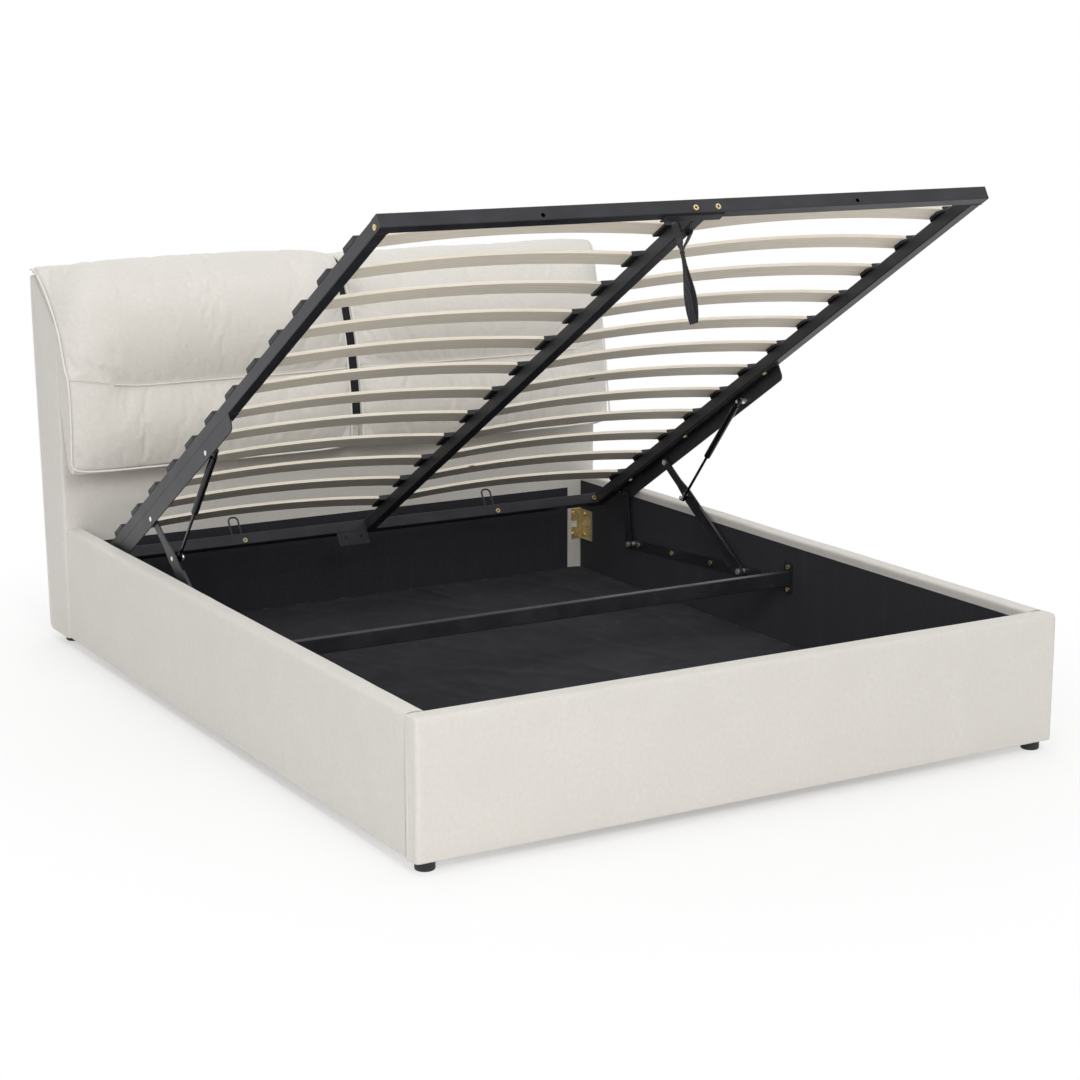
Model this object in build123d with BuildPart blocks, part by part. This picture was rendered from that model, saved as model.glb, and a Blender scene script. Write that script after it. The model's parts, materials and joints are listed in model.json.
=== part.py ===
"""Upholstered storage bed with a lifting slatted base, shown with the base raised.

Millimetres. +Z is up, the headboard stands at +Y and the foot end at -Y, +X is the right
side seen from the foot. The origin is the middle of the footprint on the floor.
"""
import os
from math import atan2, cos, degrees, hypot, radians, sin

from build123d import *

os.makedirs("parts", exist_ok=True)

# Driving sizes of the box
overall_width = 1690.0
side_wall = 45.0
footboard_wall = 50.0
interior_length = 2025.0
rail_top = 332.0
foot_height = 24.0
padding = 18.0
top_padding = 14.0
fabric = 2.0
lining = 2.0
lining_drop = 23.0
outer_round = 12.0
inner_round = 9.0
hem_round = 5.0

# Driving sizes of the headboard
headboard_overhang = 5.0
headboard_depth = 147.0
headboard_rake = 53.0
headboard_top = 1010.0
shoulder_drop = 125.0
crest_depth = 36.0
headboard_padding = 12.0
headboard_round = 14.0
headboard_lining_inset = 47.0
headboard_lining_drop = 42.0

# Driving sizes of the storage floor
floor_underside = 28.0
floor_board = 6.0
floor_groove = 8.0
groove_play = 0.2
bearer_width = 60.0
bearer_thickness = 16.0
batten_width = 45.0
batten_count = 3

# Driving sizes of the lid, the lifting frame that carries the slats
lid_tilt = 31.2
lid_side_clearance = 10.0
lid_end_clearance = 20.0
tube_width = 30.0
tube_height = 32.0
tube_wall = 2.0
tube_round = 2.5
lid_corner_back = 141.5
lid_corner_drop = 75.5

# Driving sizes of the slats and their holders
slat_count = 12
slat_width = 53.0
slat_thickness = 8.0
slat_rise = 20.0
first_slat_inset = 158.0
last_slat_inset = 152.0
slat_seat = 3.0
slat_end_gap = 6.0
holder_length = 57.6
holder_tab = 11.0
holder_height = 14.0
holder_edge = 2.5
spine_holder_overhang = 15.0
holder_play = 0.3

# Driving sizes of the lift mechanism
rear_pivot_back = 308.0
rear_pivot_drop = 164.5
front_pivot_back = 874.5
front_pivot_drop = 133.5
lid_rear_pivot = 154.5
lid_front_pivot = 405.0
lid_pivot_drop = 24.0
strut_on_arm = 302.0
strut_on_lid = 852.0
plate = 3.0
link_plate = 4.0
link_width = 26.0
pin_radius = 4.0
pin_play = 0.05
flange_gap = 3.5
side_play = 0.5
open_gap = 0.3
pin_head_radius = 8.0
pin_head = 4.0

# Driving sizes of the gas struts
cylinder_radius = 9.0
cylinder_wall = 1.2
cylinder_share = 0.56
rod_radius = 4.0
rod_play = 0.05
piston_play = 0.08
strut_clear = 2.0
socket_radius = 7.0
socket_length = 24.0

# Small hardware
bolt_radius = 3.0
bolt_head_radius = 6.5
bolt_head = 3.2
bolt_play = 0.2
soft_gap = 0.3
overrun = 1.0

# Places that follow from the sizes above
half_width = overall_width / 2
inner_half = half_width - side_wall
overall_length = footboard_wall + interior_length + headboard_depth + headboard_rake
foot_face = -overall_length / 2
foot_inner = foot_face + footboard_wall
head_lining_face = foot_inner + interior_length
head_face = head_lining_face + lining
head_back = head_lining_face + headboard_depth
head_back_top = head_back + headboard_rake
floor_top = floor_underside + floor_board
floor_face = floor_top + lining
lining_top = rail_top - lining_drop
headboard_lining_top = rail_top - headboard_lining_drop
headboard_width = overall_width + 2 * headboard_overhang
shoulder_height = headboard_top - shoulder_drop
crest_front = head_back_top - crest_depth
lid_width = 2 * (inner_half - lid_side_clearance)
lid_length = interior_length - 2 * lid_end_clearance

rear_pivot = (head_lining_face - rear_pivot_back, rail_top - rear_pivot_drop)
front_pivot = (head_lining_face - front_pivot_back, rail_top - front_pivot_drop)
lid_corner = (head_lining_face - lid_corner_back, rail_top - lid_corner_drop)

along_y = -cos(radians(lid_tilt))
along_z = sin(radians(lid_tilt))
across_y = sin(radians(lid_tilt))
across_z = cos(radians(lid_tilt))


def lid_point(u, n):
    """(y, z) of the place u from the lid's head end and n above its underside."""
    return (
        lid_corner[0] + u * along_y + n * across_y,
        lid_corner[1] + u * along_z + n * across_z,
    )


# The lid's own plane: X to the right, Y towards the head end, Z out of the slats' side
lid_plane = Plane(
    origin=(0, lid_corner[0], lid_corner[1]),
    x_dir=(1, 0, 0),
    z_dir=(0, across_y, across_z),
)


def lid_cross_plane(u):
    """Plane across the lid at u: X to the right, Y out of the slats' side."""
    y, z = lid_point(u, 0)
    return Plane(origin=(0, y, z), x_dir=(1, 0, 0), z_dir=(0, along_y, along_z))


def lid_side_plane(x):
    """Plane along the lid at x: X is u, Y is n, and its normal points to -X."""
    return Plane(
        origin=(x, lid_corner[0], lid_corner[1]),
        x_dir=(0, along_y, along_z),
        z_dir=(-1, 0, 0),
    )


def side_plane(x):
    """Upright plane at x: X is y and Y is z, and its normal points to +X."""
    return Plane(origin=(x, 0, 0), x_dir=(0, 1, 0), z_dir=(1, 0, 0))


def facing(origin, normal):
    """Place on a face, with Z out of it."""
    return Plane(origin=origin, z_dir=normal).location


def save(builder, name):
    builder.part.label = name
    export_step(builder.part, f"parts/{name}.step")


def save_both(right, name):
    """Write the right-hand piece and its mirrored twin."""
    save(right, f"{name}_right")
    with BuildPart() as left:
        mirror(right.part, about=Plane.YZ)
    save(left, f"{name}_left")


# Where bolts sit on the lid
def lid_bolt(x, u, n, normal):
    y, z = lid_point(u, n)
    return facing((x, y, z), normal)


foot_normal = (0, along_y, along_z)
under_normal = (0, -across_y, -across_z)
top_normal = (0, across_y, across_z)
bolt_row = tube_height / 3
spine_bolt_spacing = 58.0
retainer_x = 402.0
retainer_bolt_offset = 14.0
spine_bolts = [
    lid_bolt(side * spine_bolt_spacing / 2, lid_length, bolt_row, foot_normal) for side in (-1, 1)
]
end_bolts = [lid_bolt(lid_width / 2, lid_length - tube_width * 2 / 3, bolt_row, (1, 0, 0))]
retainer_bolts = [
    lid_bolt(side * retainer_x + retainer_bolt_offset, tube_width, bolt_row, foot_normal)
    for side in (-1, 1)
]
corner_bolt_inset = 10.0
corner_bolts = [
    lid_bolt(lid_width / 2 - tube_width - corner_bolt_inset, tube_width, tube_height / 2, foot_normal)
]
bracket_start = 122.0
bracket_past_strut = 186.0
bracket_length = strut_on_lid + bracket_past_strut - bracket_start
bracket_bolt_shares = (0.107, 0.47, 0.95)
bracket_bolts = [
    lid_bolt(lid_width / 2 - tube_width * 5 / 8, bracket_start + share * bracket_length, -plate, under_normal)
    for share in bracket_bolt_shares
]


# Corner brackets, cross tube and base bars, whose bolts go through the lining into the boards
leaf_thickness = 2.5
head_leaf = 33.0
side_leaf = 72.0
bracket_drop = 204.0
bracket_height = 93.0
notch_width = 20.0
notch_height = 21.0
leaf_bolt_inset = 14.0
leaf_bolt_from_corner = 26.0
head_bolt_from_edge = 24.0
crossbar_ahead = 206.5
crossbar_depth = 20.0
crossbar_drop = 132.0
crossbar_height = 40.0
crossbar_plate_width = 36.0
crossbar_ear = 22.0
bar_height = 27.0
bar_tail = 23.0
bar_nose = 90.0
bar_bolt_shares = (0.05, 0.366, 0.715)
bolt_reach = 13.0

bar_inner = inner_half - plate
crossbar_y = front_pivot[0] - crossbar_ahead
crossbar_low = rail_top - crossbar_drop
crossbar_middle = crossbar_low + crossbar_height / 2
pivot_span = hypot(front_pivot[0] - rear_pivot[0], front_pivot[1] - rear_pivot[1])
bar_toward_foot = (front_pivot[0] - rear_pivot[0]) / pivot_span
bar_rise = (front_pivot[1] - rear_pivot[1]) / pivot_span


def bar_point(distance):
    """(y, z) on the base bar's middle line, measured from the rear pivot towards the foot."""
    return rear_pivot[0] + distance * bar_toward_foot, rear_pivot[1] + distance * bar_rise


bracket_low = rail_top - bracket_drop
leaf_bolt_heights = (bracket_low + leaf_bolt_inset, bracket_low + bracket_height - leaf_bolt_inset)
leaf_bolt_rows = (head_face - leaf_bolt_from_corner, foot_inner + leaf_bolt_from_corner)
leaf_bolts = [
    facing((inner_half - leaf_thickness, y, z), (-1, 0, 0))
    for y in leaf_bolt_rows
    for z in leaf_bolt_heights
]
bar_bolts = [
    facing((bar_inner, *bar_point(share * pivot_span)), (-1, 0, 0)) for share in bar_bolt_shares
]
crossbar_bolts = [
    facing((bar_inner, crossbar_y, z), (-1, 0, 0))
    for z in (crossbar_low - crossbar_ear / 2, crossbar_low + crossbar_height + crossbar_ear / 2)
]
wall_bolts = leaf_bolts + bar_bolts + crossbar_bolts
headboard_bolts = [
    facing((inner_half - head_bolt_from_edge, head_face - leaf_thickness, z), (0, -1, 0))
    for z in leaf_bolt_heights
]
footboard_bolts = [
    facing((inner_half - head_bolt_from_edge, foot_inner + leaf_thickness, z), (0, 1, 0))
    for z in leaf_bolt_heights
]


def mirrored(places):
    """The places and their twins on the left side."""
    twins = []
    for place in places:
        face = Plane(place)
        origin = (-face.origin.X, face.origin.Y, face.origin.Z)
        normal = (-face.z_dir.X, face.z_dir.Y, face.z_dir.Z)
        twins.append(facing(origin, normal))
    return places + twins


def drill(places, depth):
    """Clearance holes for bolts at the places, depth deep from the bolt head's seat."""
    with Locations(*places):
        Hole(bolt_radius + bolt_play, depth)


up = (Align.CENTER, Align.CENTER, Align.MIN)
down = (Align.CENTER, Align.CENTER, Align.MAX)


# The box: upholstered boards
def rail_cover(thickness):
    """Section of the fabric and foam over a board: outside, over the top and down inside."""
    with BuildLine() as outline:
        Polyline(
            (0, foot_height),
            (0, rail_top),
            (thickness, rail_top),
            (thickness, lining_top),
            (thickness - fabric, lining_top),
            (thickness - fabric, rail_top - top_padding),
            (padding, rail_top - top_padding),
            (padding, foot_height),
            close=True,
        )
    make_face(outline.edges())
    tops = vertices().group_by(Axis.Y)[-1].sort_by(Axis.X)
    fillet(tops[0], radius=outer_round)
    fillet(tops[-1], radius=inner_round)
    hem = vertices().group_by(Axis.Y)[0].sort_by(Axis.X)
    fillet(hem[0], radius=hem_round)


side_length = head_face - foot_inner
side_section = Plane(origin=(half_width, foot_inner, 0), x_dir=(-1, 0, 0), z_dir=(0, 1, 0))
board_height = rail_top - top_padding - foot_height

with BuildPart() as side_cover:
    with BuildSketch(side_section):
        rail_cover(side_wall)
    extrude(amount=side_length)
save_both(side_cover, "side_cover")

side_board_width = side_wall - padding - lining
with BuildPart() as side_board:
    with Locations((inner_half + lining + side_board_width / 2, foot_inner, foot_height)):
        Box(
            side_board_width,
            side_length,
            board_height,
            align=(Align.CENTER, Align.MIN, Align.MIN),
        )
    with Locations((inner_half + lining, foot_inner - overrun, floor_underside - groove_play)):
        Box(
            floor_groove + groove_play,
            side_length + 2 * overrun,
            floor_board + 2 * groove_play,
            align=(Align.MIN, Align.MIN, Align.MIN),
            mode=Mode.SUBTRACT,
        )
    drill(wall_bolts, bolt_reach)
save_both(side_board, "side_board")

with BuildPart() as side_lining:
    with Locations((inner_half, foot_inner, floor_face)):
        Box(
            lining,
            side_length,
            lining_top - floor_face,
            align=(Align.MIN, Align.MIN, Align.MIN),
        )
    drill(wall_bolts, bolt_reach)
save_both(side_lining, "side_lining")

foot_section = Plane(origin=(-half_width, foot_face, 0), x_dir=(0, 1, 0), z_dir=(1, 0, 0))
footboard_core = footboard_wall - padding - lining
footboard_pocket = overall_width - 2 * outer_round
with BuildPart() as footboard_cover:
    with BuildSketch(foot_section):
        with BuildLine():
            Polyline(
                (0, foot_height),
                (0, rail_top),
                (footboard_wall, rail_top),
                (footboard_wall, foot_height),
                close=True,
            )
        make_face()
        tops = vertices().group_by(Axis.Y)[-1].sort_by(Axis.X)
        fillet(tops[0], radius=outer_round)
        fillet(tops[-1], radius=inner_round)
        hem = vertices().group_by(Axis.Y)[0].sort_by(Axis.X)
        fillet(hem[0], radius=hem_round)
    extrude(amount=overall_width)
    with Locations((0, foot_face + padding, rail_top - top_padding)):
        Box(
            footboard_pocket,
            footboard_core,
            rail_top,
            align=(Align.CENTER, Align.MIN, Align.MAX),
            mode=Mode.SUBTRACT,
        )
    with Locations((0, foot_inner + overrun, lining_top)):
        Box(
            footboard_pocket,
            lining + overrun + groove_play,
            rail_top,
            align=(Align.CENTER, Align.MAX, Align.MAX),
            mode=Mode.SUBTRACT,
        )
save(footboard_cover, "footboard_cover")

with BuildPart() as footboard_board:
    with Locations((0, foot_face + padding, foot_height)):
        Box(
            footboard_pocket,
            footboard_core,
            board_height,
            align=(Align.CENTER, Align.MIN, Align.MIN),
        )
    drill(mirrored(footboard_bolts), bolt_reach)
save(footboard_board, "footboard_board")

with BuildPart() as footboard_lining:
    with Locations((0, foot_inner, foot_height)):
        Box(
            footboard_pocket,
            lining,
            lining_top - foot_height,
            align=(Align.CENTER, Align.MAX, Align.MIN),
        )
    drill(mirrored(footboard_bolts), bolt_reach)
save(footboard_lining, "footboard_lining")

# The storage floor: two boards in the side grooves, battens and a bearer below
for side, name in ((-1, "left"), (1, "right")):
    with BuildPart() as floor_half:
        with Locations((side * (inner_half + lining + floor_groove) / 2, foot_inner, floor_underside)):
            Box(
                inner_half + lining + floor_groove - groove_play,
                side_length,
                floor_board,
                align=(Align.CENTER, Align.MIN, Align.MIN),
            )
    save(floor_half, f"floor_board_{name}")

with BuildPart() as floor_lining:
    with Locations((0, foot_inner, floor_top)):
        Box(
            2 * (inner_half + lining),
            side_length,
            lining,
            align=(Align.CENTER, Align.MIN, Align.MIN),
        )
save(floor_lining, "floor_lining")

with BuildPart() as centre_bearer:
    with Locations((0, foot_inner, floor_underside)):
        Box(
            bearer_width,
            side_length,
            bearer_thickness,
            align=(Align.CENTER, Align.MIN, Align.MAX),
        )
save(centre_bearer, "centre_bearer")

batten_length = inner_half - bearer_width / 2 - floor_groove
batten_pitch = side_length / (batten_count + 1)
with BuildPart() as floor_battens:
    for side in (-1, 1):
        for k in range(batten_count):
            with Locations(
                (
                    side * (bearer_width + batten_length) / 2,
                    foot_inner + batten_pitch * (k + 1),
                    floor_underside,
                )
            ):
                Box(batten_length, batten_width, bearer_thickness, align=down)
save(floor_battens, "floor_battens")

# Feet and the low pads under the bearer
foot_radius = 22.0
foot_inset = 35.0
foot_edge = 4.0
pad_height = floor_underside - bearer_thickness
rear_foot_y = (head_face + head_back) / 2
with BuildPart() as feet:
    with Locations(
        (-half_width + foot_inset, foot_face + foot_inset, 0),
        (half_width - foot_inset, foot_face + foot_inset, 0),
        (-half_width + foot_inset, rear_foot_y, 0),
        (half_width - foot_inset, rear_foot_y, 0),
    ):
        Cylinder(foot_radius, foot_height, align=up)
    fillet(feet.edges().group_by(Axis.Z)[0], radius=foot_edge)
save(feet, "feet")

with BuildPart() as bearer_pads:
    for k in range(batten_count):
        with Locations((0, foot_inner + batten_pitch * (k + 1), 0)):
            Cylinder(foot_radius, pad_height, align=up)
save(bearer_pads, "bearer_pads")

# The headboard: raked shell, ladder frame and panel inside it, lining on its lower front
def headboard_outline(inset, low):
    """Side view of the headboard, drawn in by inset everywhere but at its foot."""
    with BuildLine() as outline:
        Polyline(
            (head_face + inset, low),
            (head_face + inset, shoulder_height - inset / 2),
            (crest_front - inset, headboard_top - inset),
            (head_back_top - inset, headboard_top - inset),
            (head_back - inset, low),
            close=True,
        )
    make_face(outline.edges())


headboard_half = headboard_width / 2
with BuildPart() as headboard_cover:
    with BuildSketch(side_plane(-headboard_half)):
        headboard_outline(0, foot_height)
        fillet(vertices().group_by(Axis.Y)[-1], radius=headboard_round)
        foot_corners = vertices().group_by(Axis.Y)[0].sort_by(Axis.X)
        fillet(foot_corners[-1], radius=headboard_padding)
    extrude(amount=headboard_width)
    with BuildSketch(side_plane(-headboard_half + headboard_padding)):
        headboard_outline(headboard_padding, foot_height - overrun)
    extrude(amount=headboard_width - 2 * headboard_padding, mode=Mode.SUBTRACT)
    drill(mirrored(headboard_bolts), bolt_reach)
save(headboard_cover, "headboard_cover")

stile_width = 70.0
rung_height = 70.0
panel_thickness = 10.0
frame_back_gap = 23.0
frame_depth = headboard_depth - 2 * headboard_padding - panel_thickness - frame_back_gap
inner_headboard_half = headboard_half - headboard_padding
with BuildPart() as headboard_panel:
    with Locations((0, head_face + headboard_padding, foot_height)):
        Box(
            2 * inner_headboard_half,
            panel_thickness,
            shoulder_height - headboard_padding - foot_height,
            align=(Align.CENTER, Align.MIN, Align.MIN),
        )
save(headboard_panel, "headboard_panel")

frame_front = head_face + headboard_padding + panel_thickness
frame_top = shoulder_height - headboard_padding
with BuildPart() as headboard_stiles:
    for x in (-inner_headboard_half + stile_width / 2, 0, inner_headboard_half - stile_width / 2):
        with Locations((x, frame_front, foot_height)):
            Box(
                stile_width,
                frame_depth,
                frame_top - foot_height,
                align=(Align.CENTER, Align.MIN, Align.MIN),
            )
save(headboard_stiles, "headboard_stiles")

rung_length = inner_headboard_half - 1.5 * stile_width
rung_heights = (
    foot_height,
    headboard_lining_top,
    (headboard_lining_top + frame_top) / 2,
    frame_top - rung_height,
)
with BuildPart() as headboard_rungs:
    for side in (-1, 1):
        for z in rung_heights:
            with Locations((side * (rung_length + stile_width) / 2, frame_front, z)):
                Box(rung_length, frame_depth, rung_height, align=(Align.CENTER, Align.MIN, Align.MIN))
save(headboard_rungs, "headboard_rungs")

with BuildPart() as headboard_lining:
    with Locations((0, head_lining_face, floor_face)):
        Box(
            2 * (inner_half - headboard_lining_inset),
            lining,
            headboard_lining_top - floor_face,
            align=(Align.CENTER, Align.MIN, Align.MIN),
        )
save(headboard_lining, "headboard_lining")

# The two headboard cushions, each a padded shape with a sewn channel across it
cushion_bottom = 487.0
cushion_crest = 45.0
cushion_depth = 118.0
cushion_seat = 42.0
cushion_gap = 24.0
slope_foot = head_face - soft_gap
slope_end = crest_front - soft_gap
crest_end = head_back_top - padding / 2
shoulder_share = 0.7007

# Places across a cushion from its inner end to its outer end, and how full its front, its
# top and its crest over the headboard are there
cushion_places = (
    (0.0, 0.80, 0.72, 0.55),
    (0.03, 0.88, 0.80, 0.75),
    (0.12, 0.98, 0.86, 0.83),
    (0.5, 1.0, 1.0, 1.0),
    (0.88, 0.93, 0.75, 0.72),
    (0.97, 0.55, 0.50, 0.60),
    (1.0, 0.0, 0.0, 0.15),
)

# Side views from the back of the top round to the bottom: shares of the cushion's depth in
# front of the headboard and of its rise, first along the sewn outer edge, then at the crown.
# The first point is the crest's and the next top_points are the top's
top_points = 3
edge_shares = (
    (-1.55, 0.931),
    (-1.26, 0.931),
    (-0.70, 0.857),
    (-0.127, 0.754),
    (0.229, 0.66),
    (0.449, 0.542),
    (0.60, 0.495),
    (0.712, 0.44),
    (0.788, 0.269),
    (0.653, 0.076),
    (0.60, 0.023),
)
full_shares = (
    (-1.57, 0.965),
    (-1.24, 0.991),
    (-0.75, 0.998),
    (-0.15, 0.997),
    (0.568, 0.877),
    (0.873, 0.674),
    (0.94, 0.551),
    (0.737, 0.44),
    (1.0, 0.269),
    (0.80, 0.058),
    (0.737, 0.018),
)


def cushion_height(share):
    """Height of a share of the cushion's rise; a taller headboard stretches it below its shoulder."""
    if share < shoulder_share:
        return cushion_bottom + (shoulder_height - cushion_bottom) * share / shoulder_share
    crest_share = (share - shoulder_share) / (1 - shoulder_share)
    return shoulder_height + (shoulder_drop + cushion_crest) * crest_share


def cushion_section(front, top, crest):
    """Side view of a cushion where its padding stands by the shares front, top and crest."""
    fullness = [crest] + [top] * top_points + [front] * (len(edge_shares) - 1 - top_points)
    points = []
    for edge, full, share in zip(edge_shares, full_shares, fullness):
        depth_share = edge[0] + (full[0] - edge[0]) * share
        rise_share = edge[1] + (full[1] - edge[1]) * share
        points.append((slope_foot - cushion_depth * depth_share, cushion_height(rise_share)))
    back_end = (crest_end, headboard_top + soft_gap)
    underside = (slope_foot - cushion_seat, cushion_bottom)
    with BuildLine() as outline:
        Polyline(
            underside,
            (slope_foot, cushion_bottom + padding / 2),
            (slope_foot, shoulder_height + soft_gap),
            (slope_end, headboard_top + soft_gap),
            back_end,
        )
        stops = [back_end, *points, underside]
        for k in range(0, len(stops) - 1, 2):
            ThreePointArc(*stops[k : k + 3])
    make_face(outline.edges())


cushion_width = headboard_half - cushion_gap / 2
with BuildPart() as cushion:
    for place_share, *fullness in cushion_places:
        with BuildSketch(side_plane(cushion_gap / 2 + cushion_width * place_share)):
            cushion_section(*fullness)
    loft()
save_both(cushion, "headboard_cushion")

# The cloth between the cushions stands back a little from their inner ends
strip_width = cushion_gap - 2 * soft_gap
strip_recess_share = 0.13
with BuildPart() as gap_strip:
    with BuildSketch(side_plane(-strip_width / 2)):
        cushion_section(*(share - strip_recess_share for share in cushion_places[0][1:]))
    extrude(amount=strip_width)
save(gap_strip, "gap_strip")

# Corner brackets that join the box
def corner_bracket(y_face, side_align):
    """Right-hand angle bracket in the corner at y_face, with a notch in its cross leaf."""
    with Locations((inner_half, y_face, bracket_low)):
        Box(leaf_thickness, side_leaf, bracket_height, align=(Align.MAX, side_align, Align.MIN))
        Box(head_leaf, leaf_thickness, bracket_height, align=(Align.MAX, side_align, Align.MIN))
    with Locations((inner_half - head_leaf - overrun, y_face, bracket_low + bracket_height / 2)):
        Box(
            notch_width + overrun,
            2 * (leaf_thickness + overrun),
            notch_height,
            align=(Align.MIN, Align.CENTER, Align.CENTER),
            mode=Mode.SUBTRACT,
        )


corner_kinds = (
    ("head", head_face, Align.MAX, headboard_bolts),
    ("foot", foot_inner, Align.MIN, footboard_bolts),
)
for name, y_face, side_align, face_bolts in corner_kinds:
    with BuildPart() as brackets:
        corner_bracket(y_face, side_align)
        drill(leaf_bolts + face_bolts, leaf_thickness + overrun)
        mirror(about=Plane.YZ)
    save(brackets, f"corner_brackets_{name}")

# The cross tube that stiffens the box, with a welded plate at each end
crossbar_section = side_plane(-bar_inner)
with BuildPart() as crossbar:
    with BuildSketch(crossbar_section):
        with Locations((crossbar_y, crossbar_middle)):
            RectangleRounded(crossbar_depth, crossbar_height, tube_round)
            Rectangle(crossbar_depth - 2 * tube_wall, crossbar_height - 2 * tube_wall, mode=Mode.SUBTRACT)
    extrude(amount=2 * bar_inner)
save(crossbar, "crossbar")

with BuildPart() as crossbar_plates:
    with Locations((bar_inner, crossbar_y, crossbar_middle)):
        Box(
            plate,
            crossbar_plate_width,
            crossbar_height + 2 * crossbar_ear,
            align=(Align.MIN, Align.CENTER, Align.CENTER),
        )
    fillet(crossbar_plates.edges().filter_by(Axis.X), radius=crossbar_ear / 3)
    drill(crossbar_bolts, plate + overrun)
    mirror(about=Plane.YZ)
save(crossbar_plates, "crossbar_plates")

# The base bars that carry the lift mechanism
bar_angle = degrees(atan2(bar_rise, bar_toward_foot)) - 180
bar_length = pivot_span + bar_tail + bar_nose
bar_section = side_plane(bar_inner)
with BuildPart() as base_bar:
    with BuildSketch(bar_section):
        with Locations(bar_point((pivot_span + bar_nose - bar_tail) / 2)):
            RectangleRounded(bar_length, bar_height, bar_height / 4, rotation=bar_angle)
    extrude(amount=plate)
    drill(bar_bolts, plate + overrun)
save_both(base_bar, "base_bar")

# Where the mechanism's flat pieces stand, from the side wall inwards
flange_inner = lid_width / 2 - plate
link_outer = flange_inner - flange_gap
link_inner = link_outer - link_plate
pin_seat = link_inner - side_play
strut_x = pin_seat - pin_head - strut_clear - cylinder_radius
spacer_radius = 8.0
inwards = (-1, 0, 0)


def pivot_pin(y, z, seat):
    """Riveted pin from a plate's face at seat inwards: spacer, running shank and head."""
    shank_start = link_outer + side_play
    with Locations(facing((seat, y, z), inwards)):
        Cylinder(spacer_radius, seat - shank_start, align=up)
        Cylinder(pin_radius, seat - pin_seat, align=up)
    with Locations(facing((pin_seat, y, z), inwards)):
        Cylinder(pin_head_radius, pin_head, align=up)


with BuildPart() as base_pins:
    pivot_pin(*rear_pivot, bar_inner)
    pivot_pin(*front_pivot, bar_inner)
    mirror(about=Plane.YZ)
save(base_pins, "base_pins")

# Points of the linkage with the lid raised
lid_rear_point = lid_point(lid_rear_pivot, -lid_pivot_drop)
lid_front_point = lid_point(lid_front_pivot, -lid_pivot_drop)
lid_strut_point = lid_point(strut_on_lid, -lid_pivot_drop)


def span(start, end):
    return hypot(end[0] - start[0], end[1] - start[1])


def plane_along(x, start, end):
    """Plane at x with X from start to end and its normal to the right."""
    return Plane(origin=(x, *start), x_dir=(0, end[0] - start[0], end[1] - start[1]), z_dir=(1, 0, 0))


link_span = span(rear_pivot, lid_rear_point)
with BuildPart() as rear_link:
    with BuildSketch(plane_along(link_inner, rear_pivot, lid_rear_point)):
        with Locations((link_span / 2, 0)):
            SlotCenterToCenter(link_span, link_width)
        Circle(pin_radius + pin_play, mode=Mode.SUBTRACT)
    extrude(amount=link_plate)
    with Locations(facing((link_outer, *lid_rear_point), (1, 0, 0))):
        Cylinder(pin_radius, flange_gap - open_gap, align=up)
    with Locations(facing((link_inner, *lid_rear_point), inwards)):
        Cylinder(pin_head_radius, pin_head, align=up)
save_both(rear_link, "rear_link")

arm_width = 40.0
arm_neck = 60.0
arm_tip_width = 26.0
lip_depth = 4.5
lip_thickness = 2.5
lip_start = 40.0
lip_end = 240.0
arm_span = span(front_pivot, lid_front_point)
arm_share = strut_on_arm / arm_span
arm_strut_point = (
    front_pivot[0] + (lid_front_point[0] - front_pivot[0]) * arm_share,
    front_pivot[1] + (lid_front_point[1] - front_pivot[1]) * arm_share,
)
with BuildPart() as front_arm:
    with BuildSketch(plane_along(link_inner, front_pivot, lid_front_point)):
        with BuildLine():
            Polyline(
                (0, -arm_width / 2),
                (strut_on_arm + spacer_radius, -arm_width / 2),
                (strut_on_arm + arm_neck, -arm_tip_width / 2),
                (arm_span, -arm_tip_width / 2),
                (arm_span, arm_tip_width / 2),
                (strut_on_arm + arm_neck, arm_tip_width / 2),
                (strut_on_arm + spacer_radius, arm_width / 2),
                (0, arm_width / 2),
                close=True,
            )
        make_face()
        Circle(arm_width / 2)
        with Locations((arm_span, 0)):
            Circle(arm_tip_width / 2)
            Circle(pin_radius + pin_play, mode=Mode.SUBTRACT)
        Circle(pin_radius + pin_play, mode=Mode.SUBTRACT)
    extrude(amount=link_plate)
    with BuildSketch(plane_along(link_inner, front_pivot, lid_front_point)):
        for side in (-1, 1):
            with Locations(((lip_start + lip_end) / 2, side * (arm_width - lip_thickness) / 2)):
                Rectangle(lip_end - lip_start, lip_thickness)
    extrude(amount=-lip_depth)
save_both(front_arm, "front_arm")

# The lid's tubes
bore_width = tube_width - 2 * tube_wall
bore_height = tube_height - 2 * tube_wall
rail_middle = lid_width / 2 - tube_width / 2
rail_length = lid_length - tube_width
access_radius = 5.0
access_x = 410.0
access_holes = [lid_bolt(side * access_x, lid_length, bolt_row, foot_normal) for side in (-1, 1)]


def cross_tube(u_middle, half_length, cap):
    """Tube across the lid at u_middle; cap is the wall left at each end."""
    with BuildSketch(lid_side_plane(half_length)) as outside:
        with Locations((u_middle, tube_height / 2)):
            RectangleRounded(tube_width, tube_height, tube_round)
    extrude(outside.sketch, amount=2 * half_length)
    with BuildSketch(lid_side_plane(half_length - cap)) as inside:
        with Locations((u_middle, tube_height / 2)):
            Rectangle(bore_width, bore_height)
    extrude(inside.sketch, amount=2 * (half_length - cap), mode=Mode.SUBTRACT)


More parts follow.
